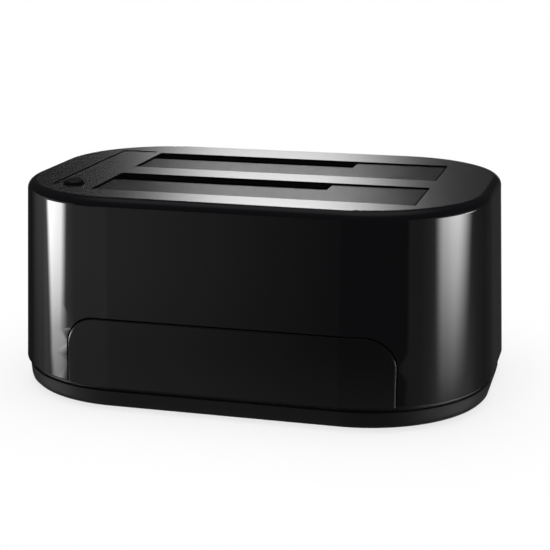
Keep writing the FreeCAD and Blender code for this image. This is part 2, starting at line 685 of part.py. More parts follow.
def make_bay_frame(slot_y):
    """Inner well for one drive: walls, floor with a window, legs, pin ears and guide ribs."""
    x0 = SLOT_LEFT_X - BAY_SIDE_CLEARANCE
    x1 = SLOT_RIGHT_X + BAY_SIDE_CLEARANCE
    y0 = slot_y - BAY_POCKET
    y1 = slot_y + SLOT_DEPTH + BAY_SIDE_CLEARANCE
    under_z = BAY_FLOOR_HEIGHT - BAY_FLOOR
    outside = box(x0 - BAY_WALL, x1 + BAY_WALL, y0 - BAY_WALL, y1 + BAY_WALL, under_z, ROOF_Z)
    inside = box(x0, x1, y0, y1, BAY_FLOOR_HEIGHT, ROOF_Z + 1)
    wall_limit = body_block(under_z - 1, ROOF_Z + 1, SHELL_WALL + BAY_SHELL_GAP)
    room_limit = body_block(under_z - 1, ROOF_Z + 2, SHELL_WALL + BAY_SHELL_GAP + BAY_WALL)
    frame = outside.common(wall_limit).cut(inside.common(room_limit))
    legs = [square_post(x, y, LEG_HALF, TRAY_FLOOR_Z + FRAME_PAD, BAY_FLOOR_HEIGHT - BAY_FLOOR / 2)
            for x, y in leg_points(slot_y)]
    frame = joined(frame, legs + pin_ears(slot_y) + guide_ribs(slot_y))
    gap = RECEPTACLE_WINDOW_GAP
    middle = receptacle_y(slot_y)
    cuts = [box(RECEPTACLE_X - gap, RECEPTACLE_X + RECEPTACLE_LENGTH + gap,
                middle - RECEPTACLE_DEPTH / 2 - gap, middle + RECEPTACLE_DEPTH / 2 + gap,
                under_z - 1, BAY_FLOOR_HEIGHT + 1)]
    cuts.append(bar_x(slot_y - HINGE_SETBACK, HINGE_Z, HINGE_PIN_R + PIN_SEAT_CLEARANCE,
                      SLOT_LEFT_X + 1, SLOT_RIGHT_X - 1))
    for x, y in frame_screw_points(slot_y):
        cuts.append(post(x, y, SCREW_R + SCREW_SEAT, 0, BAY_FLOOR_HEIGHT - BAY_FLOOR))
    return frame.cut(cuts)


def pin_ears(slot_y):
    """Two plates from the front wall of the well that carry the flap pin."""
    y_pin = slot_y - HINGE_SETBACK
    ears = []
    for x0, x1 in ear_spans():
        ear = box(x0, x1, slot_y - BAY_POCKET - BAY_WALL / 2, y_pin, HINGE_Z - KNUCKLE_R,
                  HINGE_Z + KNUCKLE_R)
        ears.append(ear.fuse(bar_x(y_pin, HINGE_Z, KNUCKLE_R, x0, x1)))
    return ears


def guide_ribs(slot_y):
    """Upright ribs on the back wall that the drive slides along."""
    ribs = []
    back = slot_y + SLOT_DEPTH + BAY_SIDE_CLEARANCE
    step = SLOT_LENGTH / GUIDE_RIB_COUNT
    for i in range(GUIDE_RIB_COUNT):
        x = SLOT_LEFT_X + step * (i + 0.5)
        ribs.append(box(x, x + GUIDE_RIB_WIDTH, back - GUIDE_RIB_STAND, back + BAY_WALL / 2,
                        BAY_FLOOR_HEIGHT - BAY_FLOOR / 2, ROOF_Z - FLAP_THICKNESS * 2))
    return ribs


def make_flap(slot_y):
    """L-shaped flap with two knuckles on arms under the front strip."""
    y0 = slot_y + FLAP_SIDE_GAP
    y1 = slot_y + SLOT_DEPTH - FLAP_END_GAP
    x0 = SLOT_LEFT_X + FLAP_SIDE_GAP
    x1 = SLOT_RIGHT_X - FLAP_SIDE_GAP
    notch_x = SLOT_LEFT_X + NOTCH_LENGTH
    notch_y = slot_y + SLOT_DEPTH - NOTCH_DEPTH
    z0 = FLAP_UNDER_Z
    corners = [(x0, y0), (x1, y0), (x1, y1), (notch_x, y1), (notch_x, notch_y), (x0, notch_y)]
    points = [Vector(x, y, z0) for x, y in corners]
    plate = prism(Part.makePolygon(points + points[:1]), Vector(0, 0, FLAP_THICKNESS))
    plate = plate.makeFillet(FLAP_EDGE_R, edges_at(plate, FLAP_TOP_Z))
    y_pin = slot_y - HINGE_SETBACK
    spans = ear_spans()
    starts = (spans[0][1] + EAR_GAP, spans[1][0] - EAR_GAP - KNUCKLE_LENGTH)
    arms = []
    in_plate_z = FLAP_TOP_Z - FLAP_THICKNESS / 2
    for x in starts:
        outline = [Vector(x, y_pin, HINGE_Z - KNUCKLE_R), Vector(x, y_pin, HINGE_Z + KNUCKLE_R),
                   Vector(x, y0 + FLAP_EDGE_R, HINGE_Z + KNUCKLE_R),
                   Vector(x, y0 + FLAP_EDGE_R, in_plate_z),
                   Vector(x, y0 + ARM_REACH, in_plate_z),
                   Vector(x, y0 + ARM_REACH, z0 - ARM_TIP)]
        arm = prism(Part.makePolygon(outline + outline[:1]), Vector(KNUCKLE_LENGTH, 0, 0))
        arms.append(arm.fuse(bar_x(y_pin, HINGE_Z, KNUCKLE_R, x, x + KNUCKLE_LENGTH)))
    flap = joined(plate, arms)
    return flap.cut(bar_x(y_pin, HINGE_Z, HINGE_PIN_R + PIN_RUNNING_CLEARANCE,
                          SLOT_LEFT_X, SLOT_RIGHT_X))


def make_flap_pin(slot_y):
    """Steel pin through both ears of a frame."""
    spans = ear_spans()
    return bar_x(slot_y - HINGE_SETBACK, HINGE_Z, HINGE_PIN_R, spans[0][0] - EAR_GAP,
                 spans[1][1] + EAR_GAP)


def wire_ring(turn_deg, y, z):
    """Section of the spring wire at one turn of the coil, as a ring of points."""
    a = math.radians(turn_deg)
    radial = Vector(math.cos(a), math.sin(a), 0)
    middle = radial * SPRING_COIL_R + Vector(0, y, z)
    ring = []
    for i in range(SPRING_SIDES):
        b = math.radians(360 * i / SPRING_SIDES)
        offset = radial * math.cos(b) + Vector(0, 0, math.sin(b))
        ring.append(middle + offset * SPRING_WIRE_R)
    return ring


def make_flap_spring(slot_y):
    """Torsion spring round the pin: one leg ends on the frame wall, one lies under the flap."""
    height = SPRING_TURNS * SPRING_PITCH
    rings = [wire_ring(0, HINGE_SETBACK - BAY_POCKET, 0)]
    for i in range(SPRING_TURNS * SPRING_STEPS + 1):
        rings.append(wire_ring(360 * i / SPRING_STEPS, 0, SPRING_PITCH * i / SPRING_STEPS))
    rings.append(wire_ring(0, SPRING_LEG, height))
    faces = [Part.Face(Part.makePolygon(ring + ring[:1])) for ring in (rings[0], rings[-1])]
    for here, ahead in zip(rings, rings[1:]):
        for i in range(SPRING_SIDES):
            j = (i + 1) % SPRING_SIDES
            faces.append(Part.Face(Part.makePolygon([here[i], here[j], ahead[j], here[i]])))
            faces.append(Part.Face(Part.makePolygon([here[i], ahead[j], ahead[i], here[i]])))
    spring = Part.Solid(Part.Shell(faces))
    if spring.Volume < 0:
        spring.reverse()
    x0 = ear_spans()[0][1] + EAR_GAP + KNUCKLE_LENGTH + EAR_GAP + SPRING_WIRE_R
    spring.rotate(Vector(0, 0, 0), Vector(0, 1, 0), -90)
    spring.translate(Vector(x0 + height, slot_y - HINGE_SETBACK, HINGE_Z))
    return spring


def make_strip():
    """Thin inlay round the button that covers the light pipes."""
    low = TOP_Z - STRIP_POCKET
    strip = strip_prism(-STRIP_GAP, low, low + STRIP_THICKNESS)
    return strip.cut(post(STRIP_CENTRE_X, BUTTON_Y, BUTTON_R + BUTTON_GAP, low - 1, TOP_Z + 1))


def make_button():
    """Round push button with a retaining flange and a tip that bears on the plunger."""
    cap = post(STRIP_CENTRE_X, BUTTON_Y, BUTTON_R, BUTTON_FLANGE_Z - BUTTON_FLANGE_THICKNESS / 2,
               TOP_Z + BUTTON_PROUD)
    cap = cap.makeChamfer(BUTTON_BEVEL, edges_at(cap, TOP_Z + BUTTON_PROUD))
    flange = post(STRIP_CENTRE_X, BUTTON_Y, BUTTON_FLANGE_R, BUTTON_FLANGE_Z - BUTTON_FLANGE_THICKNESS,
                  BUTTON_FLANGE_Z)
    tip = post(STRIP_CENTRE_X, BUTTON_Y, BUTTON_TIP_R, BUTTON_TIP_Z, BUTTON_FLANGE_Z)
    return joined(cap, [flange, tip])


def make_switch_body():
    """Square push switch under the button, with a bore for its plunger."""
    half = SWITCH_SIDE / 2
    top = BUTTON_BOARD_Z + SWITCH_HEIGHT
    body = box(STRIP_CENTRE_X - half, STRIP_CENTRE_X + half, BUTTON_Y - half, BUTTON_Y + half,
               BUTTON_BOARD_Z, top)
    bore = post(STRIP_CENTRE_X, BUTTON_Y, PLUNGER_R + PIN_RUNNING_CLEARANCE, top - PLUNGER_BORE_DEPTH,
                top + 1)
    return body.cut(bore)


def make_plunger():
    top = BUTTON_BOARD_Z + SWITCH_HEIGHT
    bottom = top - PLUNGER_BORE_DEPTH + BUTTON_TRAVEL + BUTTON_STOP_GAP
    return post(STRIP_CENTRE_X, BUTTON_Y, PLUNGER_R, bottom, top + PLUNGER_STAND)


def make_button_board():
    """Long narrow board that carries the push switch and the lights."""
    y0 = BUTTON_Y - BUTTON_BOARD_MARGIN
    y1 = BUTTON_SCREW_YS[-1] + BUTTON_BOARD_MARGIN
    board = box(STRIP_CENTRE_X - BUTTON_BOARD_HALF_WIDTH, STRIP_CENTRE_X + BUTTON_BOARD_HALF_WIDTH,
                y0, y1, BUTTON_BOARD_Z - BUTTON_BOARD_THICKNESS, BUTTON_BOARD_Z)
    holes = [post(STRIP_CENTRE_X, y, SMALL_SCREW_R + PORT_GAP, 0, TOP_Z) for y in BUTTON_SCREW_YS]
    return board.cut(holes)


def screw(x, y, seat_z, direction, shank_r, head_r, head, shank):
    """Flat-topped screw whose head bears on seat_z and whose shank points along direction."""
    axis = Vector(0, 0, direction)
    stem = Part.makeCylinder(shank_r, shank, Vector(x, y, seat_z), axis)
    cap = Part.makeCylinder(head_r, head, Vector(x, y, seat_z), Vector(0, 0, -direction))
    return joined(stem, [cap])


def make_case_screws():
    seat = BASE_Z + COUNTERBORE_DEPTH
    shank = CASE_BOSS_BOTTOM_Z + SCREW_SHANK - seat - SCREW_TIP_GAP
    return [screw(x, y, seat, 1, SCREW_R, SCREW_HEAD_R, SCREW_HEAD, shank) for x, y in case_points()]


def make_frame_screws():
    seat = BASE_Z + FRAME_COUNTERBORE_DEPTH
    shank = BAY_FLOOR_HEIGHT - BAY_FLOOR - seat - SCREW_TIP_GAP
    screws = []
    for slot_y in SLOT_YS.values():
        for x, y in frame_screw_points(slot_y):
            screws.append(screw(x, y, seat, 1, SCREW_R, SCREW_HEAD_R, SCREW_HEAD, shank))
    return screws


def make_board_screws():
    return [screw(x, y, BOARD_TOP_Z, -1, SMALL_SCREW_R, SMALL_SCREW_HEAD_R, SMALL_SCREW_HEAD,
                  SMALL_SCREW_SHANK) for x, y in board_screw_points()]


def make_button_board_screws():
    seat = BUTTON_BOARD_Z - BUTTON_BOARD_THICKNESS
    return [screw(STRIP_CENTRE_X, y, seat, 1, SMALL_SCREW_R, SMALL_SCREW_HEAD_R, SMALL_SCREW_HEAD,
                  SMALL_SCREW_SHANK) for y in BUTTON_SCREW_YS]


def make_lights():
    """Small bevelled light sources in a row under the strip."""
    lights = []
    for y in LIGHT_YS:
        light = box(STRIP_CENTRE_X - LIGHT_WIDTH / 2, STRIP_CENTRE_X + LIGHT_WIDTH / 2,
                    y - LIGHT_LENGTH / 2, y + LIGHT_LENGTH / 2, BUTTON_BOARD_Z,
                    BUTTON_BOARD_Z + LIGHT_HEIGHT)
        top = edges_at(light, BUTTON_BOARD_Z + LIGHT_HEIGHT)
        lights.append(light.makeChamfer(LIGHT_BEVEL, top))
    return lights


def make_light_pipes():
    """Clear rods that carry each light up to the strip, flanged under the roof."""
    pipes = []
    for y in LIGHT_YS:
        rod = square_post(STRIP_CENTRE_X, y, LIGHT_PIPE_HALF,
                          BUTTON_BOARD_Z + LIGHT_HEIGHT + LIGHT_PIPE_GAP, TOP_Z - STRIP_POCKET)
        flange = square_post(STRIP_CENTRE_X, y, LIGHT_PIPE_FLANGE_HALF, ROOF_Z - LIGHT_PIPE_FLANGE, ROOF_Z)
        pipes.append(joined(rod, [flange]))
    return pipes


def make_main_board():
    """Main board with its screw holes."""
    board = box(BOARD_LEFT_X, BOARD_RIGHT_X, BOARD_FRONT_Y, BOARD_BACK_Y, BOARD_UNDER_Z, BOARD_TOP_Z)
    return board.cut([post(x, y, BOARD_HOLE_R, 0, TOP_Z) for x, y in board_screw_points()])


def receptacle_slots(slot_y):
    """The signal slot and the power slot of a receptacle, each with its key."""
    y0 = receptacle_y(slot_y) - TONGUE_SLOT_WIDTH / 2
    floor = BOARD_TOP_Z + TONGUE_SLOT_FLOOR
    slots = []
    for start, length in ((SIGNAL_SLOT_START, SIGNAL_SLOT_LENGTH), (POWER_SLOT_START, POWER_SLOT_LENGTH)):
        x0 = RECEPTACLE_X + start
        run = box(x0, x0 + length, y0, y0 + TONGUE_SLOT_WIDTH, floor, FAR)
        key = box(x0, x0 + KEY_LENGTH, y0 - KEY_REACH, y0 + TONGUE_SLOT_WIDTH, floor, FAR)
        slots.append(run.fuse(key).removeSplitter())
    return slots


def make_receptacle(slot_y):
    """Upright drive receptacle with an end tower at each side."""
    y0 = receptacle_y(slot_y) - RECEPTACLE_DEPTH / 2
    body = box(RECEPTACLE_X, RECEPTACLE_X + RECEPTACLE_LENGTH, y0, y0 + RECEPTACLE_DEPTH,
               BOARD_TOP_Z, BOARD_TOP_Z + RECEPTACLE_HEIGHT)
    body = body.makeChamfer(RECEPTACLE_BEVEL, edges_at(body, BOARD_TOP_Z + RECEPTACLE_HEIGHT))
    return body.cut(receptacle_slots(slot_y))


def make_contacts(slot_y):
    """Flat contacts against the back wall of both slots."""
    back = receptacle_y(slot_y) + TONGUE_SLOT_WIDTH / 2
    low = BOARD_TOP_Z + TONGUE_SLOT_FLOOR
    high = BOARD_TOP_Z + RECEPTACLE_HEIGHT - CONTACT_TOP_GAP
    rows = ((SIGNAL_SLOT_START, SIGNAL_SLOT_LENGTH, SIGNAL_CONTACTS),
            (POWER_SLOT_START, POWER_SLOT_LENGTH, POWER_CONTACTS))
    contacts = []
    for start, length, count in rows:
        middle = RECEPTACLE_X + start + (length + KEY_LENGTH) / 2
        for i in range(count):
            x = middle + (i - (count - 1) / 2) * CONTACT_PITCH
            contacts.append(box(x - CONTACT_WIDTH / 2, x + CONTACT_WIDTH / 2, back - CONTACT_THICKNESS,
                                back, low, high))
    return contacts


def make_usb_shield():
    """Metal shield of the data port, open to the back."""
    y1 = PORT_FACE_Y + PORT_FLUSH
    outer = box(USB_X - USB_WIDTH / 2, USB_X + USB_WIDTH / 2, y1 - USB_DEPTH, y1, BOARD_TOP_Z,
                BOARD_TOP_Z + USB_HEIGHT)
    inner = box(USB_X - USB_WIDTH / 2 + USB_SHIELD, USB_X + USB_WIDTH / 2 - USB_SHIELD,
                y1 - USB_DEPTH + USB_SHIELD, y1 + 1, BOARD_TOP_Z + USB_SHIELD,
                BOARD_TOP_Z + USB_HEIGHT - USB_SHIELD)
    return outer.cut(inner)


def make_usb_insert():
    """Plastic core of the data port with its two tongues."""
    y1 = PORT_FACE_Y + PORT_FLUSH
    y0 = y1 - USB_DEPTH + USB_SHIELD
    back = box(USB_X - USB_WIDTH / 2 + USB_SHIELD, USB_X + USB_WIDTH / 2 - USB_SHIELD, y0,
               y0 + USB_BACK, BOARD_TOP_Z + USB_SHIELD, BOARD_TOP_Z + USB_HEIGHT - USB_SHIELD)
    tip = y1 - USB_TONGUE_SETBACK
    lower = box(USB_X - USB_TONGUE_WIDTH / 2, USB_X + USB_TONGUE_WIDTH / 2, y0, tip,
                BOARD_TOP_Z + USB_TONGUE_LIFT, BOARD_TOP_Z + USB_TONGUE_LIFT + USB_TONGUE_HEIGHT)
    upper = box(USB_X - USB_UPPER_TONGUE_WIDTH / 2, USB_X + USB_UPPER_TONGUE_WIDTH / 2, y0, tip,
                BOARD_TOP_Z + USB_UPPER_TONGUE_LIFT,
                BOARD_TOP_Z + USB_UPPER_TONGUE_LIFT + USB_UPPER_TONGUE_HEIGHT)
    return joined(back, [lower, upper])


def make_inlet_body():
    """Power inlet: square body behind the wall and a round collar through it."""
    wall_y = PORT_FACE_Y - SHELL_WALL - DC_WALL_GAP
    axis_z = BOARD_TOP_Z + DC_AXIS_LIFT
    body = box(DC_X - DC_WIDTH / 2, DC_X + DC_WIDTH / 2, wall_y - DC_DEPTH, wall_y, BOARD_TOP_Z,
               BOARD_TOP_Z + DC_HEIGHT)
    collar = bar_y(DC_X, axis_z, DC_COLLAR_R, wall_y - 1, PORT_FACE_Y + PORT_FLUSH)
    mouth = PORT_FACE_Y + PORT_FLUSH
    bore = bar_y(DC_X, axis_z, DC_BORE_R, mouth - DC_BORE_DEPTH, mouth + 1)
    pin_seat = bar_y(DC_X, axis_z, DC_PIN_R, wall_y - DC_DEPTH + DC_PIN_ROOT, mouth)
    return joined(body, [collar]).cut([bore, pin_seat])


def make_inlet_pin():
    """Centre pin of the power inlet with a bevelled tip."""
    wall_y = PORT_FACE_Y - SHELL_WALL - DC_WALL_GAP
    axis_z = BOARD_TOP_Z + DC_AXIS_LIFT
    tip = PORT_FACE_Y + PORT_FLUSH - DC_PIN_SETBACK
    pin = bar_y(DC_X, axis_z, DC_PIN_R, wall_y - DC_DEPTH + DC_PIN_ROOT, tip)
    ends = [edge for edge in pin.Edges if abs(edge.BoundBox.YMin - tip) < 1e-4]
    return pin.makeChamfer(DC_PIN_R / 2, ends)


def rocker_point(u, v, z):
    """Point of the power switch: u along X from the pivot, v outwards from the pivot."""
    return Vector(SWITCH_X + u, PORT_FACE_Y + ROCKER_BEZEL_THICKNESS - ROCKER_PIVOT_DEPTH + v, z)


def make_switch_housing():
    """Housing of the power switch with its bezel outside the wall."""
    long = ROCKER_HOUSING_HALF_LENGTH + ROCKER_HOUSING_WALL
    tall = ROCKER_HOUSING_HALF_HEIGHT + ROCKER_HOUSING_WALL
    z = ROCKER_AXIS_Z
    face = PORT_FACE_Y
    body = box(SWITCH_X - long, SWITCH_X + long, face - ROCKER_HOUSING_DEPTH,
               face + ROCKER_BEZEL_THICKNESS / 2, z - tall, z + tall)
    margin = ROCKER_BEZEL_MARGIN
    bezel = box(SWITCH_X - long - margin, SWITCH_X + long + margin, face,
                face + ROCKER_BEZEL_THICKNESS, z - tall - margin, z + tall + margin)
    front = [edge for edge in bezel.Edges if edge.BoundBox.YMin > face + ROCKER_BEZEL_THICKNESS - 0.01]
    bezel = bezel.makeChamfer(ROCKER_BEZEL_BEVEL, front)
    room = box(SWITCH_X - ROCKER_HOUSING_HALF_LENGTH, SWITCH_X + ROCKER_HOUSING_HALF_LENGTH,
               face - ROCKER_HOUSING_DEPTH + ROCKER_HOUSING_WALL, face + ROCKER_HOUSING_DEPTH,
               z - ROCKER_HOUSING_HALF_HEIGHT, z + ROCKER_HOUSING_HALF_HEIGHT)
    pivot = rocker_point(0, 0, 0)
    socket = post(pivot.x, pivot.y, ROCKER_STUB_R + ROCKER_STUB_CLEARANCE,
                  z - tall + ROCKER_STUB_WALL, z + tall - ROCKER_STUB_WALL)
    return joined(body, [bezel]).cut([room, socket])


def make_rocker():
    """Rocker key: round belly, shallow V face, pivot stubs; it rests in its off position."""
    z0 = ROCKER_AXIS_Z - ROCKER_HALF_HEIGHT
    end_v = ROCKER_PIVOT_DEPTH + ROCKER_END_PROUD
    belly_u = ROCKER_BARREL_R
    left = rocker_point(-ROCKER_HALF_LENGTH, end_v, z0)
    low_left = rocker_point(-belly_u, 0, z0)
    low = rocker_point(0, -ROCKER_BARREL_R, z0)
    low_right = rocker_point(belly_u, 0, z0)
    right = rocker_point(ROCKER_HALF_LENGTH, end_v, z0)
    dip = rocker_point(0, ROCKER_PIVOT_DEPTH, z0)
    wire = path_wire(left, [(low_left,), (low, low_right), (right,), (dip, left)])
    key = prism(wire, Vector(0, 0, 2 * ROCKER_HALF_HEIGHT))
    pivot = rocker_point(0, 0, 0)
    reach = ROCKER_HALF_HEIGHT + ROCKER_STUB_LENGTH
    stub = post(pivot.x, pivot.y, ROCKER_STUB_R, ROCKER_AXIS_Z - reach, ROCKER_AXIS_Z + reach)
    key = joined(key, [stub])
    key.rotate(pivot, Vector(0, 0, 1), -ROCKER_TILT_DEG)
    return key


def make_terminals():
    """Flat terminals from the switch housing down to the board."""
    terminals = []
    y = PORT_FACE_Y - ROCKER_HOUSING_DEPTH + TERMINAL_SETBACK
    top = ROCKER_AXIS_Z - ROCKER_HOUSING_HALF_HEIGHT - ROCKER_HOUSING_WALL
    for i in range(TERMINAL_COUNT):
        x = SWITCH_X + (i - (TERMINAL_COUNT - 1) / 2) * TERMINAL_PITCH
        terminals.append(box(x - TERMINAL_WIDTH / 2, x + TERMINAL_WIDTH / 2, y, y + TERMINAL_THICKNESS,
                             BOARD_TOP_Z, top))
    return terminals


def ribbon_levels():
    """Heights of the ribbon's two ends and its X places."""
    top = BUTTON_BOARD_Z - BUTTON_BOARD_THICKNESS - RIBBON_SOCKET_HEIGHT
    low = BOARD_TOP_Z + RIBBON_SOCKET_HEIGHT / 2
    right = BOARD_LEFT_X + RIBBON_ENTRY
    return top, low, right


def make_ribbon():
    """Flat cable that drops beside the wells and turns in under them."""
    top, low, right = ribbon_levels()
    y0 = RIBBON_Y - RIBBON_WIDTH / 2
    half = RIBBON_THICKNESS / 2
    x = STRIP_CENTRE_X
    r = RIBBON_BEND_R
    turn = math.sqrt(0.5)
    centre_x = x + r
    centre_z = low + r
    outer = r + half
    inner = r - half

    def bend(radius):
        return Vector(centre_x - radius * turn, y0, centre_z - radius * turn)

    start = Vector(x - half, y0, top)
    steps = [(Vector(x - half, y0, centre_z),), (bend(outer), Vector(centre_x, y0, low - half)),
             (Vector(right, y0, low - half),), (Vector(right, y0, low + half),),
             (Vector(centre_x, y0, low + half),), (bend(inner), Vector(x + half, y0, centre_z)),
             (Vector(x + half, y0, top),), (start,)]
    return prism(path_wire(start, steps), Vector(0, RIBBON_WIDTH, 0))


def make_upper_socket():
    """Ribbon socket under the button board."""
    top, low, right = ribbon_levels()
    half = RIBBON_SOCKET_LENGTH / 2
    side = RIBBON_WIDTH / 2 + RIBBON_SOCKET_MARGIN
    return box(STRIP_CENTRE_X - half, STRIP_CENTRE_X + half, RIBBON_Y - side, RIBBON_Y + side, top,
               top + RIBBON_SOCKET_HEIGHT)


def make_lower_socket():
    """Ribbon socket at the left edge of the main board."""
    top, low, right = ribbon_levels()
    side = RIBBON_WIDTH / 2 + RIBBON_SOCKET_MARGIN
    return box(right, right + RIBBON_SOCKET_LENGTH, RIBBON_Y - side, RIBBON_Y + side, BOARD_TOP_Z,
               BOARD_TOP_Z + RIBBON_SOCKET_HEIGHT)


def make_foot(x, y):
    """Round rubber foot in its pocket."""
    return post(x, y, FOOT_R, 0, BASE_Z + FOOT_POCKET)


def chip(along, y, side_x, side_y, height):
    """Flat package on the main board with a bevelled top."""
    x = FREE_MIDDLE_X + along
    body = box(x - side_x / 2, x + side_x / 2, y - side_y / 2, y + side_y / 2, BOARD_TOP_Z,
               BOARD_TOP_Z + height)
    return body.makeChamfer(height * PACKAGE_BEVEL, edges_at(body, BOARD_TOP_Z + height))


def make_capacitors():
    """Upright can capacitors, each on a square foot."""
    half = CAPACITOR_R + CAPACITOR_FOOT_MARGIN
    top = BOARD_TOP_Z + CAPACITOR_FOOT
    cans = []
    for along, y in side_points(CAPACITOR_XS, CAPACITOR_YS):
        x = FREE_MIDDLE_X + along
        foot = box(x - half, x + half, y - half, y + half, BOARD_TOP_Z, top)
        cans.append(joined(foot, [post(x, y, CAPACITOR_R, top, BOARD_TOP_Z + CAPACITOR_HEIGHT)]))
    return cans


def parts():
    """Every piece by its name; a list is a group of separate solids."""
    made = {
        "upper_shell": make_shell(),
        "base_tray": make_tray(),
        "front_panel": make_front_panel(),
        "indicator_strip": make_strip(),
        "clone_button": make_button(),
        "button_switch_body": make_switch_body(),
        "button_switch_plunger": make_plunger(),
        "button_board": make_button_board(),
        "button_board_screws": make_button_board_screws(),
        "status_lights": make_lights(),
        "light_pipes": make_light_pipes(),
        "ribbon_cable": make_ribbon(),
        "ribbon_socket_upper": make_upper_socket(),
        "ribbon_socket_lower": make_lower_socket(),
        "main_board": make_main_board(),
        "main_board_screws": make_board_screws(),
        "bridge_chip": chip(*BRIDGE_CHIP),
        "memory_chip": chip(*MEMORY_CHIP),
        "clock_crystal": chip(*CLOCK_CRYSTAL),
        "power_inductor": chip(*POWER_INDUCTOR),
        "board_capacitors": make_capacitors(),
        "usb_shield": make_usb_shield(),
        "usb_insert": make_usb_insert(),
        "power_inlet_body": make_inlet_body(),
        "power_inlet_pin": make_inlet_pin(),
        "power_switch_housing": make_switch_housing(),
        "power_switch_rocker": make_rocker(),
        "power_switch_terminals": make_terminals(),
        "case_screws": make_case_screws(),
        "frame_screws": make_frame_screws(),
    }
    for side, slot_y in SLOT_YS.items():
        made[side + "_bay_frame"] = make_bay_frame(slot_y)
        made[side + "_flap"] = make_flap(slot_y)
        made[side + "_flap_pin"] = make_flap_pin(slot_y)
        made[side + "_flap_spring"] = make_flap_spring(slot_y)
        made[side + "_drive_receptacle"] = make_receptacle(slot_y)
        made[side + "_drive_contacts"] = make_contacts(slot_y)
    for name, (x, y) in foot_points().items():
        made[name] = make_foot(x, y)
    return made


os.makedirs("parts", exist_ok=True)
for node, shape in parts().items():
    if isinstance(shape, list):
        shape = Part.makeCompound(shape)
    shape.exportStep("parts/" + node + ".step")
    print(node, len(shape.Solids), round(shape.Volume, 1), shape.isValid())
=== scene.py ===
"""Finishes, small fittings, lights and camera for a dual-bay hard drive docking station."""

import json
import math

import bmesh
import bpy
from mathutils import Matrix, Vector


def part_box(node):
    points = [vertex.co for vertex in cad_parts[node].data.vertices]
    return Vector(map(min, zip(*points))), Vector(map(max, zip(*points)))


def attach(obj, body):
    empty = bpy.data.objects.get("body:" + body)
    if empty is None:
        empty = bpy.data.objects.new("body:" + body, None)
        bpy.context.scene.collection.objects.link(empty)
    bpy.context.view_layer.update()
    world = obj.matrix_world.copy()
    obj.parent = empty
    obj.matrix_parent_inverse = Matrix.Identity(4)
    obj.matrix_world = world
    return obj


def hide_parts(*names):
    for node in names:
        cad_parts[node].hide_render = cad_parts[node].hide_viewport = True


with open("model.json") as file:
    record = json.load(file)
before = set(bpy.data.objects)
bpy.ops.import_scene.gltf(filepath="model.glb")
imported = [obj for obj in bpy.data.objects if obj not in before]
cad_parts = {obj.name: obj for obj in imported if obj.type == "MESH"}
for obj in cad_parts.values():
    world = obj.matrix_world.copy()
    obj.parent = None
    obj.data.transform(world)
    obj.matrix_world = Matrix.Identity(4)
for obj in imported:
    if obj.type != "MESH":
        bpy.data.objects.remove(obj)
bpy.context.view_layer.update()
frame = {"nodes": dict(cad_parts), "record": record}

bl_info = {
    "name": "Drive Dock",
    "version": (1, 0, 0),
    "blender": (4, 5, 0),
    "location": "3D View > Sidebar > Drive Dock",
    "description": "Dresses a packed drive dock and sets up its studio",
    "category": "Object",
}

MM = 0.001
NODES = frame["nodes"]
COLOURS = {row["slot"]: tuple(row["base_color"]) for row in frame["record"]["materials"]}
SHELL_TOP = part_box("upper_shell")[1].z
BOARD_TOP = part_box("main_board")[1].z

# Sizes of CAD pieces that their boxes don't give
FLAP_DEPTH = 27.4 * MM
PANEL_FLANGE = 2.4 * MM
CAPACITOR_FOOT = 0.9 * MM
ROCKER_PIVOT = Vector((-26 * MM, 49.2 * MM, 20.6 * MM))
ROCKER_REST_TILT = math.radians(-9)
ROCKER_FACE_RISE = 1.9 * MM
ROCKER_FACE_SLOPE = math.atan2(0.7, 5.9)
CHIP_LEG_PITCH = 0.8 * MM
CHIP_LEGS_A_SIDE = 16

CASE_SCREW = {"head_r": 2.5 * MM, "head": 1.6 * MM, "shank_r": 1.3 * MM, "drive": 2.9 * MM}
BOARD_SCREW = {"head_r": 1.9 * MM, "head": 1.2 * MM, "shank_r": 0.9 * MM, "drive": 2.1 * MM}

# Shares of a screw's head and shank
HEAD_RIM = 0.28
HEAD_DOME = 0.08
HEAD_ROUNDING = 0.12
POINT = 0.14
POINT_TAPER = 0.35
RECESS_DEPTH = 0.7
RECESS_FROM = 1.1
RECESS_CUT_FROM = 1.3
RECESS_ARM = 0.16
RECESS_TAPER = 0.55

UP = Vector((0, 0, 1))
DOWN = Vector((0, 0, -1))
FORWARD = Vector((0, -1, 0))
SAME_WAY = 0.9
ROUND_SIDES = 48
CREASE = math.radians(32)
BEVEL_CREASE = math.radians(35)

GLOSS_IOR = 1.46
PLASTIC_IOR = 1.48

# Scales of the wave texture: tracks about 3 mm apart, and wires 1 mm apart
TRACK_WAVE = 140.0
WIRE_WAVE = 314.0

# Lights that glossy surfaces mirror, in degrees. Round the horizon 0 is -Y and 90 is +X, except
# that 0 is +Y for the back light. An edge is a place and its softness, and a foot is a ramp. A
# strip's side has its lean between the two, in degrees for each degree below LEAN_FROM. A cap, a
# wash and the overhead light are a level and then their edges.
LEAN_FROM = -8.6
LEFT_STRIP = {"first": (-90.8, 1.1, 3.6), "last": (-67.4, -0.5, 4.4),
              "foot": (-17.2, -8.3), "top": (-6.0, 1.5)}
RIGHT_STRIP = {"first": (78.8, 0.0, 5.6), "last": (111.5, -1.3, 12.0),
               "foot": (-17.0, -4.2), "top": (-4.2, 0.9), "cap": (1.2, -7.4, 0.5)}
REAR_STRIP = {"first": (-173.0, 0.0, 4.0), "last": (-157.0, 0.0, 4.0),
              "foot": (-22.0, -8.0), "top": (-4.0, 2.0)}
RIGHT_FULL = (89.0, 7.0)
REAR_SHARE = 0.4
BACK_SIDES = ((-18.4, 2.2), (-10.9, 2.2))
BACK_FOOT = (6.0, 16.5)
BACK_TOP = (35.0, 10.0)
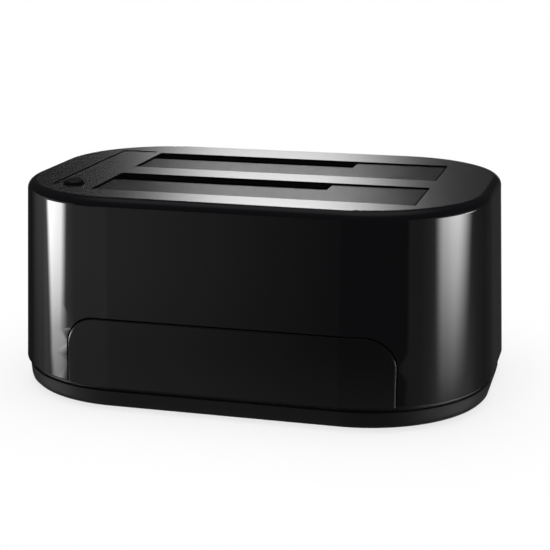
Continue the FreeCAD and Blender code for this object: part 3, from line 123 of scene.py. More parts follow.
LEFT_WASHES = ((0.4, (-111.0, 17.0), (-17.5, 8.5)), (0.3, (-96.0, 4.0), (-60.0, 6.0)))
RIGHT_WASHES = ((0.15, (48.7, 2.0), (130.0, 26.0)), (0.1, (64.0, 6.0), (118.0, 16.0)),
                (0.15, (71.0, 3.0), (118.0, 8.0)))
FRONT_WASH = (0.11, (-52.0, 18.0), (40.0, 4.0))
FRONT_WASH_TOP = (-14.2, 1.8)
WASH_FOOT = (-16.5, -9.0)
WASH_TOP = (3.0, 3.0)
REAR_WASH = (0.02, 146.0, 6.0)
BEHIND_WASH = (0.2, 176.5, 2.5)
OVERHEAD = (0.3, 62.0, 16.0)
ROOM_GLOW = 0.02

# The pale floor, with the straight part of the body's outline and the floor's share beside it
STRAIGHT_HALF_LENGTH = 0.045
STRAIGHT_HALF_DEPTH = 0.02
FLOOR_SHARE = 0.3
FLOOR_RADIUS = 0.3
PALE = (0.92, 0.92, 0.92, 1.0)
WHITE = (1.0, 1.0, 1.0, 1.0)

LAMP_PLACE = (0.0, -0.1, 1.2)
LAMP_SIDE = 1.0
SENSOR_WIDTH_MM = 36.0
NEAR_CLIP = 0.01


class Field:
    """One number of a shader graph, so that sums on it are written as sums."""

    def __init__(self, graph, socket):
        self.graph = graph
        self.socket = socket

    def _with(self, operation, *others):
        node = self.graph.add("ShaderNodeMath", {"operation": operation},
                              dict(enumerate((self,) + others)))
        return Field(self.graph, node.outputs[0])

    def _after(self, operation, other):
        node = self.graph.add("ShaderNodeMath", {"operation": operation}, {0: other, 1: self})
        return Field(self.graph, node.outputs[0])

    def __add__(self, other):
        return self._with("ADD", other)

    def __radd__(self, other):
        return self._with("ADD", other)

    def __sub__(self, other):
        return self._with("SUBTRACT", other)

    def __rsub__(self, other):
        return self._after("SUBTRACT", other)

    def __mul__(self, other):
        return self._with("MULTIPLY", other)

    def __rmul__(self, other):
        return self._with("MULTIPLY", other)

    def __neg__(self):
        return self._with("MULTIPLY", -1.0)

    def highest(self, other):
        return self._with("MAXIMUM", other)

    def size(self):
        return self._with("ABSOLUTE")

    def root(self):
        return self._with("SQRT")

    def turn(self, other):
        """Angle in degrees whose tangent is this over the other."""
        return self._with("ARCTAN2", other)._with("DEGREES")

    def lift(self):
        """Angle in degrees whose sine is this."""
        return self._with("ARCSINE")._with("DEGREES")

    def ramp(self, low, high):
        """0 below low, 1 above high and a soft rise between them."""
        node = self.graph.add("ShaderNodeMapRange", {"interpolation_type": "SMOOTHSTEP"},
                              {"Value": self, "From Min": low, "From Max": high})
        return Field(self.graph, node.outputs["Result"])

    def rise(self, middle, soft):
        """0 before a place and 1 after it, over a soft distance to each side."""
        return self.ramp(middle - soft, middle + soft)

    def fall(self, middle, soft):
        """1 before a place and 0 after it."""
        return 1.0 - self.rise(middle, soft)

    def between(self, first, last):
        """1 between two sides, each a place and a softness."""
        return self.rise(*first) * self.fall(*last)


class Graph:
    """Adds nodes to one material or world."""

    def __init__(self, owner):
        owner.use_nodes = True
        self.tree = owner.node_tree
        self.tree.nodes.clear()

    def add(self, kind, settings=None, inputs=None):
        """A node of one type with its settings, then the values or links of its sockets."""
        node = self.tree.nodes.new(kind)
        for name, value in (settings or {}).items():
            setattr(node, name, value)
        for name, value in (inputs or {}).items():
            if isinstance(value, Field):
                value = value.socket
            if isinstance(value, bpy.types.NodeSocket):
                self.tree.links.new(value, node.inputs[name])
            else:
                node.inputs[name].default_value = value
        return node

    def place(self, output="Object"):
        """Place on the piece, or the direction in a world."""
        return self.add("ShaderNodeTexCoord").outputs[output]

    def axes(self, output="Object"):
        """The three coordinates of the place, or of the direction in a world."""
        split = self.add("ShaderNodeSeparateXYZ", {}, {0: self.place(output)})
        return [Field(self, socket) for socket in split.outputs]

    def noise(self, grain, detail=2.0, stretch=(1.0, 1.0, 1.0)):
        """Cloudy values whose features are about one grain across, in metres."""
        scaled = self.add("ShaderNodeMapping", {}, {"Vector": self.place(), "Scale": stretch})
        node = self.add("ShaderNodeTexNoise", {},
                        {"Vector": scaled.outputs[0], "Scale": 1.0 / grain, "Detail": detail})
        return Field(self, node.outputs["Fac"])

    def mix(self, factor, first, second):
        """Colour between two colours, through the node's colour sockets 6, 7 and 2."""
        node = self.add("ShaderNodeMix", {"data_type": "RGBA"}, {0: factor, 6: first, 7: second})
        return node.outputs[2]

    def bump(self, height, depth, strength):
        """Normal of a surface with small heights, depth in metres."""
        node = self.add("ShaderNodeBump", {}, {"Height": height, "Distance": depth,
                                               "Strength": strength})
        return node.outputs["Normal"]

    def surface(self, **sockets):
        """The principled surface of a material, its sockets named with underscores."""
        inputs = {name.replace("_", " "): value for name, value in sockets.items()}
        shader = self.add("ShaderNodeBsdfPrincipled", {}, inputs)
        self.add("ShaderNodeOutputMaterial", {}, {"Surface": shader.outputs[0]})


def rgba(colour, level=1.0):
    return tuple(part * level for part in colour[:3]) + (1.0,)


def material(name):
    made = bpy.data.materials.new(name)
    return made, Graph(made)


def paint(made, *names):
    """Puts one finish on CAD nodes."""
    for name in names:
        slots = NODES[name].data.materials
        if not slots:
            slots.append(made)
        for i in range(len(slots)):
            slots[i] = made


def shell_finish(settings):
    """Black gloss walls with a fine satin top."""
    made, g = material("black_gloss_shell")
    z = g.axes()[2]
    on_top = z.ramp(SHELL_TOP - 0.06 * MM, SHELL_TOP - 0.02 * MM)
    on_walls = 1.0 - on_top
    cloud = g.noise(22 * MM)
    dust = g.noise(0.35 * MM, 3.0)
    gloss = settings.gloss_roughness + 0.02 * cloud
    skin = g.mix(dust, rgba(settings.satin_colour, 0.85), rgba(settings.satin_colour, 1.1))
    colour = g.mix(on_top, rgba(settings.shell_colour), skin)
    wave = g.noise(9 * MM, 1.0) * on_walls * 0.1
    grain = g.noise(0.18 * MM, 2.0) * on_top * 0.15
    g.surface(Base_Color=colour, IOR=GLOSS_IOR, Normal=g.bump(wave + grain, 0.006 * MM, 0.5),
              Roughness=gloss * on_walls + settings.satin_roughness * on_top)
    return made


def panel_finish(settings):
    """The same black gloss on the front insert, a little duller on its right edge."""
    made, g = material("black_gloss_insert")
    x = g.axes()[0]
    right_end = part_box("front_panel")[1].x - PANEL_FLANGE
    edge = x.rise(right_end - 0.6 * MM, 0.15 * MM)
    cloud = g.noise(18 * MM)
    colour = g.mix(cloud, rgba(settings.shell_colour, 0.85), rgba(settings.shell_colour))
    g.surface(Base_Color=colour, IOR=GLOSS_IOR,
              Roughness=settings.gloss_roughness + 0.03 * cloud + 0.36 * edge,
              Normal=g.bump(g.noise(9 * MM, 1.0), 0.0015 * MM, 0.5))
    return made


def tray_finish(settings):
    """Fine spark-eroded texture of the base tray."""
    made, g = material("base_tray_texture")
    cloud = g.noise(14 * MM, 3.0)
    pits = g.noise(0.16 * MM, 3.0)
    colour = g.mix(cloud, rgba(settings.tray_colour, 0.3), rgba(settings.tray_colour, 0.5))
    g.surface(Base_Color=colour, Roughness=0.42 + 0.12 * pits, IOR=1.38,
              Normal=g.bump(pits, 0.02 * MM, 0.5))
    return made


def flap_finish(settings, node):
    """Grained skin of one flap: smooth ridges, rough pits, and a rough rim painted dark as shade of
    the gap round it.
    """
    made, g = material(node + "_grain")
    x, y = g.axes()[:2]
    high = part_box(node)[1]
    right_edge = x.rise(high.x - 0.5 * MM, 0.1 * MM)
    front_edge = y.fall(high.y - FLAP_DEPTH + 0.3 * MM, 0.1 * MM)
    gap_shade_rim = right_edge.highest(front_edge)
    grain = g.noise(settings.flap_grain, 2.0)
    pits = grain.rise(0.485, 0.03).highest(gap_shade_rim)
    rub = g.noise(6 * MM, 4.0)
    colour = g.mix(rub, rgba(settings.flap_colour, 0.35), rgba(settings.flap_colour, 0.7))
    # Painted shade: the right and front rims are darkened as the shadowed gap beside the flap.
    colour = g.mix(gap_shade_rim, colour, rgba(settings.flap_colour, 0.1))
    g.surface(Base_Color=colour, Roughness=0.17 + 0.6 * pits, IOR=1.22,
              Normal=g.bump(grain, 0.005 * MM, 0.5))
    return made


def strip_finish(settings):
    """Smooth satin inlay round the button, with painted shade of the seam groove along its left and
    back edges.
    """
    made, g = material("indicator_strip_satin")
    x, y = g.axes()[:2]
    low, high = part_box("indicator_strip")
    left_seam_shade = x.fall(low.x + 0.3 * MM, 0.08 * MM)
    back_seam_shade = y.rise(high.y - 0.3 * MM, 0.08 * MM)
    # Painted shade: the left and back edges are darkened where the seam's groove lies in shade.
    edge = left_seam_shade.highest(back_seam_shade)
    dust = g.noise(0.3 * MM, 3.0)
    skin = g.mix(dust, rgba(settings.satin_colour, 0.8), rgba(settings.satin_colour))
    g.surface(Base_Color=g.mix(edge, skin, rgba(settings.satin_colour, 0.2)),
              Roughness=settings.satin_roughness + 0.6 * edge, IOR=GLOSS_IOR,
              Normal=g.bump(g.noise(0.2 * MM), 0.001 * MM, 0.5))
    return made


def button_finish(settings):
    """Polished cap of the push button, a little rubbed in the middle."""
    made, g = material("button_polish")
    rub = g.noise(1.4 * MM, 3.0)
    g.surface(Base_Color=g.mix(rub, rgba(settings.shell_colour), rgba(settings.shell_colour, 1.6)),
              Roughness=0.05 + 0.06 * rub, IOR=1.5)
    return made


def moulded_finish(name, colour, roughness, grain=0.25 * MM):
    """Plain moulded plastic with a faint flow pattern."""
    made, g = material(name)
    flow = g.noise(7 * MM, 3.0)
    pits = g.noise(grain, 2.0)
    g.surface(Base_Color=g.mix(flow, rgba(colour, 0.85), rgba(colour, 1.12)),
              Roughness=roughness + 0.1 * pits, IOR=PLASTIC_IOR,
              Normal=g.bump(pits, 0.012 * MM, 0.5))
    return made


def rubber_finish():
    """Soft, finely pitted rubber of the feet."""
    made, g = material("foot_rubber")
    pits = g.noise(0.3 * MM, 4.0)
    dust = g.noise(2.5 * MM, 3.0)
    colour = COLOURS["rubber_black"]
    g.surface(Base_Color=g.mix(dust, rgba(colour, 0.8), rgba(colour, 1.6)),
              Roughness=0.75 + 0.15 * pits, Normal=g.bump(pits, 0.03 * MM, 0.7))
    return made


def metal_finish(name, colour, roughness, stretch=(1.0, 1.0, 1.0)):
    """Bare metal with drawing or turning marks along one direction."""
    made, g = material(name)
    marks = g.noise(0.25 * MM, 3.0, stretch)
    tone = g.noise(3 * MM, 3.0)
    g.surface(Base_Color=g.mix(tone, rgba(colour, 0.82), rgba(colour)), Metallic=1.0,
              Roughness=roughness + 0.14 * marks, Normal=g.bump(marks, 0.004 * MM, 0.4))
    return made


def board_finish():
    """Solder-masked board with faint tracks under the mask."""
    made, g = material("board_mask")
    colour = COLOURS["board_green"]
    wander = g.noise(9 * MM, 1.0)
    lines = g.add("ShaderNodeTexWave", {"wave_type": "BANDS", "bands_direction": "DIAGONAL"},
                  {"Vector": g.place(), "Scale": TRACK_WAVE, "Distortion": 2.5,
                   "Detail": 1.0, "Detail Scale": 0.6})
    track = Field(g, lines.outputs["Fac"]).ramp(0.72, 0.82) * wander.ramp(0.42, 0.5)
    g.surface(Base_Color=g.mix(track, rgba(colour, 0.8), rgba(colour, 1.7)),
              Roughness=0.28 + 0.1 * wander, IOR=1.52, Normal=g.bump(track, 0.03 * MM, 0.8))
    return made


def capacitor_finish():
    """Bright aluminium cans on their black feet."""
    made, g = material("capacitor_can_metal")
    z = g.axes()[2]
    foot_top = BOARD_TOP + CAPACITOR_FOOT
    foot = 1.0 - z.ramp(foot_top - 0.05 * MM, foot_top)
    spin = g.noise(0.2 * MM, 2.0, (1.0, 1.0, 0.1))
    colour = g.mix(foot, rgba(COLOURS["capacitor_can"]), rgba(COLOURS["chip_black"]))
    g.surface(Base_Color=colour, Metallic=1.0 - foot, Roughness=0.26 + 0.12 * spin)
    return made


def ribbon_finish():
    """Grey flat cable with its separate wires side by side, darker in the grooves between them as
    painted shade.
    """
    made, g = material("ribbon_wires")
    lines = g.add("ShaderNodeTexWave", {"wave_type": "BANDS", "bands_direction": "Y"},
                  {"Vector": g.place(), "Scale": WIRE_WAVE})
    wire = Field(g, lines.outputs["Fac"])
    colour = COLOURS["ribbon_grey"]
    # Painted shade: the colour darkens in the grooves between the wires.
    g.surface(Base_Color=g.mix(wire, rgba(colour, 0.55), rgba(colour)), Roughness=0.45 + 0.1 * wire,
              Normal=g.bump(wire, 0.25 * MM, 0.8))
    return made


def clear_finish(name, colour, roughness):
    """Clear moulded plastic of the lights and their pipes."""
    made, g = material(name)
    haze = g.noise(1.2 * MM, 2.0)
    g.surface(Base_Color=g.mix(haze, rgba(colour, 0.92), rgba(colour)),
              Roughness=roughness + 0.08 * haze, IOR=1.49, Transmission_Weight=0.85)
    return made


def alone(piece):
    """Selects one object and nothing else."""
    bpy.ops.object.select_all(action="DESELECT")
    piece.select_set(True)
    bpy.context.view_layer.objects.active = piece


def started(name):
    """The primitive that has just been added, named and alone, with its place in its mesh."""
    piece = bpy.context.object
    piece.name = name
    piece.data.name = name
    alone(piece)
    bpy.ops.object.transform_apply(location=True, rotation=True, scale=True)
    return piece


def add_block(name, low, high):
    """Box between two corners, to be shaped further."""
    bpy.ops.object.select_all(action="DESELECT")
    middle = (Vector(low) + Vector(high)) / 2
    bpy.ops.mesh.primitive_cube_add(size=1.0, location=middle, scale=Vector(high) - Vector(low))
    return started(name)


def add_round(name, radius, low, high):
    """Upright round block between two points over each other."""
    bpy.ops.object.select_all(action="DESELECT")
    middle = (Vector(low) + Vector(high)) / 2
    bpy.ops.mesh.primitive_cylinder_add(vertices=ROUND_SIDES, radius=radius, location=middle,
                                        depth=high[2] - low[2])
    return started(name)


def choose_faces(piece, way):
    """Goes to edit mode with only the faces selected that look one way."""
    alone(piece)
    bpy.ops.object.mode_set(mode="EDIT")
    bpy.ops.mesh.select_mode(type="FACE")
    bpy.ops.mesh.select_all(action="DESELECT")
    shape = bmesh.from_edit_mesh(piece.data)
    for face in shape.faces:
        face.select_set(face.normal.dot(way) > SAME_WAY)
    bmesh.update_edit_mesh(piece.data)


def leave_edit():
    bpy.ops.object.mode_set(mode="OBJECT")


def apply_modifier(piece, kind, **values):
    """Adds one modifier and applies it."""
    alone(piece)
    added = piece.modifiers.new(kind.lower(), kind)
    for name, value in values.items():
        setattr(added, name, value)
    bpy.ops.object.modifier_apply(modifier=added.name)


def bevel_edges(piece, width, segments=2):
    apply_modifier(piece, "BEVEL", width=width, segments=segments, limit_method="ANGLE",
                   angle_limit=BEVEL_CREASE)


def cut_away(piece, cutter):
    """Takes one block out of a piece and deletes the block."""
    apply_modifier(piece, "BOOLEAN", operation="DIFFERENCE", solver="EXACT", object=cutter)
    bpy.data.objects.remove(cutter)


def copied(piece, name, shift):
    """Copy with its own mesh, moved by its points."""
    twin = piece.copy()
    twin.data = piece.data.copy()
    twin.name = name
    twin.data.name = name
    twin.data.transform(Matrix.Translation(shift))
    bpy.context.collection.objects.link(twin)
    return twin


def merged(name, pieces):
    """One object from several."""
    bpy.ops.object.select_all(action="DESELECT")
    for piece in pieces:
        piece.select_set(True)
    bpy.context.view_layer.objects.active = pieces[0]
    if len(pieces) > 1:
        bpy.ops.object.join()
    whole = bpy.context.object
    whole.name = name
    whole.data.name = name
    return whole


def dressed(piece, made, body, replaces=()):
    """Smooths, paints and hangs a new piece on its body."""
    alone(piece)
    bpy.ops.object.shade_smooth_by_angle(angle=CREASE)
    piece.data.materials.clear()
    piece.data.materials.append(made)
    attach(piece, body)
    if replaces:
        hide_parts(*replaces)
    return piece


def make_screw(name, head_r, head, shank_r, drive, shank):
    """Pan-head screw at the origin, its shank along +Z, with a cross recess in the head."""
    screw = add_round(name, head_r, (0, 0, -head), (0, 0, 0))
    choose_faces(screw, DOWN)
    bpy.ops.mesh.inset(thickness=head_r * HEAD_RIM)
    bpy.ops.transform.translate(value=(0, 0, -head * HEAD_DOME))
    leave_edit()
    choose_faces(screw, UP)
    bpy.ops.mesh.inset(thickness=head_r - shank_r)
    for length in (shank * (1 - POINT), shank * POINT):
        bpy.ops.mesh.extrude_region_move(TRANSFORM_OT_translate={"value": (0, 0, length)})
    bpy.ops.transform.resize(value=(POINT_TAPER, POINT_TAPER, 1.0))
    leave_edit()
    bevel_edges(screw, head * HEAD_ROUNDING)
    recess_floor = head * RECESS_DEPTH - head * RECESS_FROM
    long = drive / 2
    thick = drive * RECESS_ARM
    for half_x, half_y in ((long, thick), (thick, long)):
        cutter = add_block("driver_cut", (-half_x, -half_y, -head * RECESS_CUT_FROM),
                           (half_x, half_y, recess_floor))
        choose_faces(cutter, UP)
        bpy.ops.transform.resize(value=(RECESS_TAPER, RECESS_TAPER, 1.0))
        leave_edit()
        cut_away(screw, cutter)
    return screw


def screw_places(node, head_r, heads_up):
    """Where the heads of a CAD screw set sit: two rows or one, from the node's own box."""
    low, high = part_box(node)
    xs = sorted({round(low.x + head_r, 6), round(high.x - head_r, 6)})
    ys = sorted({round(low.y + head_r, 6), round(high.y - head_r, 6)})
    z = high.z if heads_up else low.z
    return [Vector((x, y, z)) for x in xs for y in ys]


def screw_set(name, node, made, kind, heads_up):
    """Detailed screws of one kind in the place of one CAD screw set."""
    low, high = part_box(node)
    head = kind["head"]
    screw = make_screw(name + "_pattern", shank=high.z - low.z - head, **kind)
    if heads_up:
        alone(screw)
        bpy.ops.object.mode_set(mode="EDIT")
        bpy.ops.mesh.select_all(action="SELECT")
        bpy.ops.transform.rotate(value=math.pi, orient_axis="X", center_override=(0, 0, 0))
        leave_edit()
    reach = -head if heads_up else head
    screws = [copied(screw, name, place + Vector((0, 0, reach)))
              for place in screw_places(node, kind["head_r"], heads_up)]
    bpy.data.objects.remove(screw)
    return dressed(merged(name, screws), made, "housing", (node,))


class DockFinishSettings(bpy.types.PropertyGroup):
    """Colours and surface values of the dock."""

    shell_colour: bpy.props.FloatVectorProperty(
        name="Shell colour", description="Colour of the gloss walls", size=3, subtype="COLOR",
        min=0.0, max=1.0, default=COLOURS["shell_gloss"])
    satin_colour: bpy.props.FloatVectorProperty(
        name="Top colour", description="Colour of the satin top", size=3, subtype="COLOR",
        min=0.0, max=1.0, default=COLOURS["strip_satin"])
    tray_colour: bpy.props.FloatVectorProperty(
        name="Tray colour", description="Colour of the base tray", size=3, subtype="COLOR",
        min=0.0, max=1.0, default=COLOURS["base_satin"])
    flap_colour: bpy.props.FloatVectorProperty(
        name="Flap colour", description="Colour of the two flaps", size=3, subtype="COLOR",
        min=0.0, max=1.0, default=COLOURS["flap_satin"])
    gloss_roughness: bpy.props.FloatProperty(
        name="Gloss", description="Roughness of the gloss walls", min=0.0, max=1.0, default=0.03,
        subtype="FACTOR")
    satin_roughness: bpy.props.FloatProperty(
        name="Satin", description="Roughness of the top", min=0.0, max=1.0, default=0.225,
        subtype="FACTOR")
    flap_grain: bpy.props.FloatProperty(
        name="Flap grain", description="Size of the grain on the flaps", default=0.3 * MM,
        unit="LENGTH", subtype="DISTANCE", precision=5)


class DockStageSettings(bpy.types.PropertyGroup):
    """Camera, floor and lights."""

    camera_place: bpy.props.FloatVectorProperty(
        name="Camera", description="Where the camera stands", size=3, subtype="TRANSLATION",
        unit="LENGTH", default=(0.12322, -0.45564, 0.15682))
    camera_turn: bpy.props.FloatVectorProperty(
        name="Camera turn", description="Which way the camera looks", size=3, subtype="EULER",
        unit="ROTATION", default=(math.radians(75.396), 0.0, math.radians(14.719)))
    lens_mm: bpy.props.FloatProperty(
        name="Lens", description="Focal length in millimetres on a 36 mm frame", default=94.24)
    floor_reach: bpy.props.FloatProperty(
        name="Floor reach", description="How far the pale floor goes before it fades",
        default=0.09, unit="LENGTH", subtype="DISTANCE")
    lamp_power: bpy.props.FloatProperty(
        name="Lamp", description="Power of the soft lamp overhead, in watts", default=8.0)
    air_fill: bpy.props.FloatProperty(
        name="Fill", description="Brightness of the even light from all round", default=0.5)
    strip_glow: bpy.props.FloatProperty(
        name="Strip lights", description="Brightness of the upright strip lights", default=16.8)
    back_glow: bpy.props.FloatProperty(
        name="Back light", description="Brightness of the low light behind", default=5.2)


class DOCK_OT_housing_finish(bpy.types.Operator):
    """Paint the shell, front insert, tray, strip and feet"""

    bl_idname = "dock.housing_finish"
    bl_label = "Housing finishes"

    def execute(self, context):
        settings = context.scene.dock_finish
        paint(shell_finish(settings), "upper_shell")
        paint(panel_finish(settings), "front_panel")
        paint(tray_finish(settings), "base_tray")
        paint(strip_finish(settings), "indicator_strip")
        feet = [name for name in NODES if name.startswith("foot_")]
        paint(rubber_finish(), *feet)
        return {"FINISHED"}


class DOCK_OT_flap_finish(bpy.types.Operator):
    """Paint the flaps with their pins and springs"""

    bl_idname = "dock.flap_finish"
    bl_label = "Flap finishes"

    def execute(self, context):
        for node in ("front_flap", "rear_flap"):
            paint(flap_finish(context.scene.dock_finish, node), node)
        pin = metal_finish("hinge_pin_steel", COLOURS["pin_steel"], 0.16, (0.05, 1.0, 1.0))
        paint(pin, "front_flap_pin", "rear_flap_pin")
        wire = metal_finish("spring_wire_steel", COLOURS["spring_steel"], 0.3)
        paint(wire, "front_flap_spring", "rear_flap_spring")
        return {"FINISHED"}


class DOCK_OT_button_finish(bpy.types.Operator):
    """Paint the push button, its switch and plunger"""

    bl_idname = "dock.button_finish"
    bl_label = "Button finishes"

    def execute(self, context):
        paint(button_finish(context.scene.dock_finish), "clone_button")
        paint(moulded_finish("push_switch_body", COLOURS["connector_black"], 0.45),
              "button_switch_body")
        paint(moulded_finish("plunger_nylon", COLOURS["socket_white"], 0.4),
              "button_switch_plunger")
        return {"FINISHED"}


class DOCK_OT_bay_finish(bpy.types.Operator):
    """Paint the bay frames, drive receptacles and contacts"""

    bl_idname = "dock.bay_finish"
    bl_label = "Bay finishes"

    def execute(self, context):
        well = moulded_finish("bay_well_black", COLOURS["frame_black"], 0.55, 0.4 * MM)
        socket = moulded_finish("receptacle_black", COLOURS["connector_black"], 0.4)
        gold = metal_finish("contact_plating", COLOURS["contact_gold"], 0.18, (1.0, 1.0, 0.1))
        for side in ("front", "rear"):
            paint(well, side + "_bay_frame")
            paint(socket, side + "_drive_receptacle")
            paint(gold, side + "_drive_contacts")
        return {"FINISHED"}


class DOCK_OT_electronics_finish(bpy.types.Operator):
    """Paint the boards and everything that stands on them"""

    bl_idname = "dock.electronics_finish"
    bl_label = "Electronics finishes"

    def execute(self, context):
        paint(board_finish(), "main_board", "button_board")
        paint(moulded_finish("chip_package", COLOURS["chip_black"], 0.5, 0.12 * MM),
              "bridge_chip", "memory_chip")
        paint(metal_finish("crystal_can_metal", COLOURS["crystal_can"], 0.24, (1.0, 0.1, 1.0)),
              "clock_crystal")
        paint(moulded_finish("inductor_ferrite", COLOURS["ferrite"], 0.6, 0.2 * MM),
              "power_inductor")
        paint(capacitor_finish(), "board_capacitors")
        paint(ribbon_finish(), "ribbon_cable")
        paint(moulded_finish("ribbon_socket_nylon", COLOURS["socket_white"], 0.45),
              "ribbon_socket_upper", "ribbon_socket_lower")
        paint(clear_finish("light_dome_clear", COLOURS["light_clear"], 0.2), "status_lights")
        paint(clear_finish("light_pipe_clear", COLOURS["pipe_clear"], 0.06), "light_pipes")
        return {"FINISHED"}


class DOCK_OT_port_finish(bpy.types.Operator):
    """Paint the data port, power inlet and power switch"""

    bl_idname = "dock.port_finish"
    bl_label = "Port finishes"

    def execute(self, context):
        black = moulded_finish("port_housing_black", COLOURS["connector_black"], 0.35)
        paint(metal_finish("port_shield_metal", COLOURS["port_metal"], 0.26, (1.0, 0.08, 1.0)),
              "usb_shield")
        paint(moulded_finish("port_core_blue", COLOURS["port_core"], 0.35), "usb_insert")
        paint(black, "power_inlet_body", "power_switch_housing")
        paint(metal_finish("inlet_pin_metal", COLOURS["pin_steel"], 0.18, (1.0, 0.1, 1.0)),
              "power_inlet_pin")
        paint(moulded_finish("rocker_key_black", COLOURS["rocker_black"], 0.2),
              "power_switch_rocker")
        paint(metal_finish("terminal_plating", COLOURS["contact_gold"], 0.28),
              "power_switch_terminals")
        return {"FINISHED"}


class DOCK_OT_screws(bpy.types.Operator):
    """Model the case, frame and board screws with their driver recesses"""

    bl_idname = "dock.screws"
    bl_label = "Screws"

    def execute(self, context):
        steel = metal_finish("screw_zinc", COLOURS["screw_steel"], 0.3)
        screw_set("case_screw_set", "case_screws", steel, CASE_SCREW, False)
        screw_set("frame_screw_set", "frame_screws", steel, CASE_SCREW, False)
        screw_set("board_screw_set", "main_board_screws", steel, BOARD_SCREW, True)
        screw_set("button_board_screw_set", "button_board_screws", steel, BOARD_SCREW, False)
        return {"FINISHED"}


class DOCK_OT_rocker_marks(bpy.types.Operator):
    """Raise the on and off marks on the rocker key"""

    bl_idname = "dock.rocker_marks"
    bl_label = "Rocker marks"

    def execute(self, context):
        from_middle = 3.1 * MM
        ring_r = 1.15 * MM
        bar_half = 1.2 * MM
        line_r = 0.16 * MM
        relief = 0.12 * MM
        white = moulded_finish("mark_ink", COLOURS["socket_white"], 0.5)
        bpy.ops.object.select_all(action="DESELECT")
        bpy.ops.mesh.primitive_torus_add(major_radius=ring_r, minor_radius=line_r,
                                         major_segments=36, minor_segments=8,
                                         rotation=(math.pi / 2, 0, 0))
        ring = started("off_mark")
        bar = add_block("on_mark", (-line_r, -relief, -bar_half), (line_r, relief, bar_half))
        bevel_edges(bar, 0.05 * MM)
        key = Matrix.Translation(ROCKER_PIVOT) @ Matrix.Rotation(ROCKER_REST_TILT, 4, "Z")
        face = ROCKER_FACE_RISE + from_middle * math.tan(ROCKER_FACE_SLOPE)
        for mark, side in ((bar, -1), (ring, 1)):
            lean = Matrix.Rotation(side * ROCKER_FACE_SLOPE, 4, "Z")
            place = Matrix.Translation((side * from_middle, face, 0))
            mark.data.transform(key @ place @ lean)
            dressed(mark, white, "rocker")
        return {"FINISHED"}


class DOCK_OT_port_contacts(bpy.types.Operator):
    """Lay the gold contacts on the tongues of the data port"""

    bl_idname = "dock.port_contacts"
    bl_label = "Port contacts"

    def execute(self, context):
        gold = metal_finish("port_contact_plating", COLOURS["contact_gold"], 0.2)
        low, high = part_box("usb_insert")
        middle = (low.x + high.x) / 2
        # height over the board, number, pitch and width of each row
        rows = ((5.8 * MM, 2, 2.2 * MM, 1.1 * MM), (2.6 * MM, 2, 2.2 * MM, 1.1 * MM),
                (9.2 * MM, 5, 0.9 * MM, 0.5 * MM))
        inner = high.y - 7.5 * MM
        outer = high.y - 0.6 * MM
        half_thick = 0.1 * MM
        strips = []
        for rise, count, pitch, width in rows:
            z = BOARD_TOP + rise
            for i in range(count):
                x = middle + (i - (count - 1) / 2) * pitch
                strip = add_block("contact_strip", (x - width / 2, inner, z - half_thick),
                                  (x + width / 2, outer, z + half_thick))
                bevel_edges(strip, 0.04 * MM)
                strips.append(strip)
        dressed(merged("data_port_contacts", strips), gold, "housing")
        return {"FINISHED"}


class DOCK_OT_chip_legs(bpy.types.Operator):
    """Bend the rows of legs round the bridge chip"""

    bl_idname = "dock.chip_legs"
    bl_label = "Chip legs"

    def execute(self, context):
        tin = metal_finish("leg_tin", COLOURS["crystal_can"], 0.3)
        low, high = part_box("bridge_chip")
        middle = (low + high) / 2
        half = (high.x - low.x) / 2
        half_wide = 0.16 * MM
        half_thick = 0.09 * MM
        z = middle.z
        leg = add_block("chip_leg", (-half_wide, -half - 0.3 * MM, z - half_thick),
                        (half_wide, -half + 0.1 * MM, z + half_thick))
        choose_faces(leg, FORWARD)
        drop = z - 0.1 * MM - BOARD_TOP
        for step in ((0, -0.25 * MM, -drop), (0, -0.5 * MM, 0)):
            bpy.ops.mesh.extrude_region_move(TRANSFORM_OT_translate={"value": step})
        leave_edit()
        bevel_edges(leg, 0.03 * MM, 1)
        legs = []
        for side in range(4):
            turn = Matrix.Rotation(side * math.pi / 2, 4, "Z")
            for i in range(CHIP_LEGS_A_SIDE):
                along = (i - (CHIP_LEGS_A_SIDE - 1) / 2) * CHIP_LEG_PITCH
                twin = copied(leg, "chip_leg", (along, 0, 0))
                twin.data.transform(Matrix.Translation((middle.x, middle.y, 0)) @ turn)
                legs.append(twin)
        bpy.data.objects.remove(leg)
        dressed(merged("bridge_chip_legs", legs), tin, "housing")
        return {"FINISHED"}


def floor_finish(settings):
    """Pale floor near the object that fades into the white round it."""
    made, g = material("pale_floor")
    x, y = g.axes()[:2]
    dx = (x.size() - STRAIGHT_HALF_LENGTH).highest(0.0)
    dy = (y.size() - STRAIGHT_HALF_DEPTH).highest(0.0)
    away = (dx * dx + dy * dy).root()
    shown = FLOOR_SHARE * (1.0 - away.ramp(0.0, settings.floor_reach))
    matt = g.add("ShaderNodeBsdfDiffuse", {}, {"Color": PALE})
    clear = g.add("ShaderNodeBsdfTransparent")
    both = g.add("ShaderNodeMixShader", {}, {0: shown, 1: clear.outputs[0], 2: matt.outputs[0]})
    g.add("ShaderNodeOutputMaterial", {}, {"Surface": both.outputs[0]})
    return made


def strip_light(front, height, first, last, foot, top, cap=None):
    """Upright strip with sides that may lean, a fading foot, a soft top and perhaps a cap."""
    below = LEAN_FROM - height
    first_place, first_lean, first_soft = first
    last_place, last_lean, last_soft = last
    across = (front.rise(first_place + below * first_lean, first_soft)
              * front.fall(last_place + below * last_lean, last_soft))
    level = height.ramp(*foot)
    if cap:
        share, *edge = cap
        level = level + share * height.rise(*edge)
    return across * level * height.fall(*top)


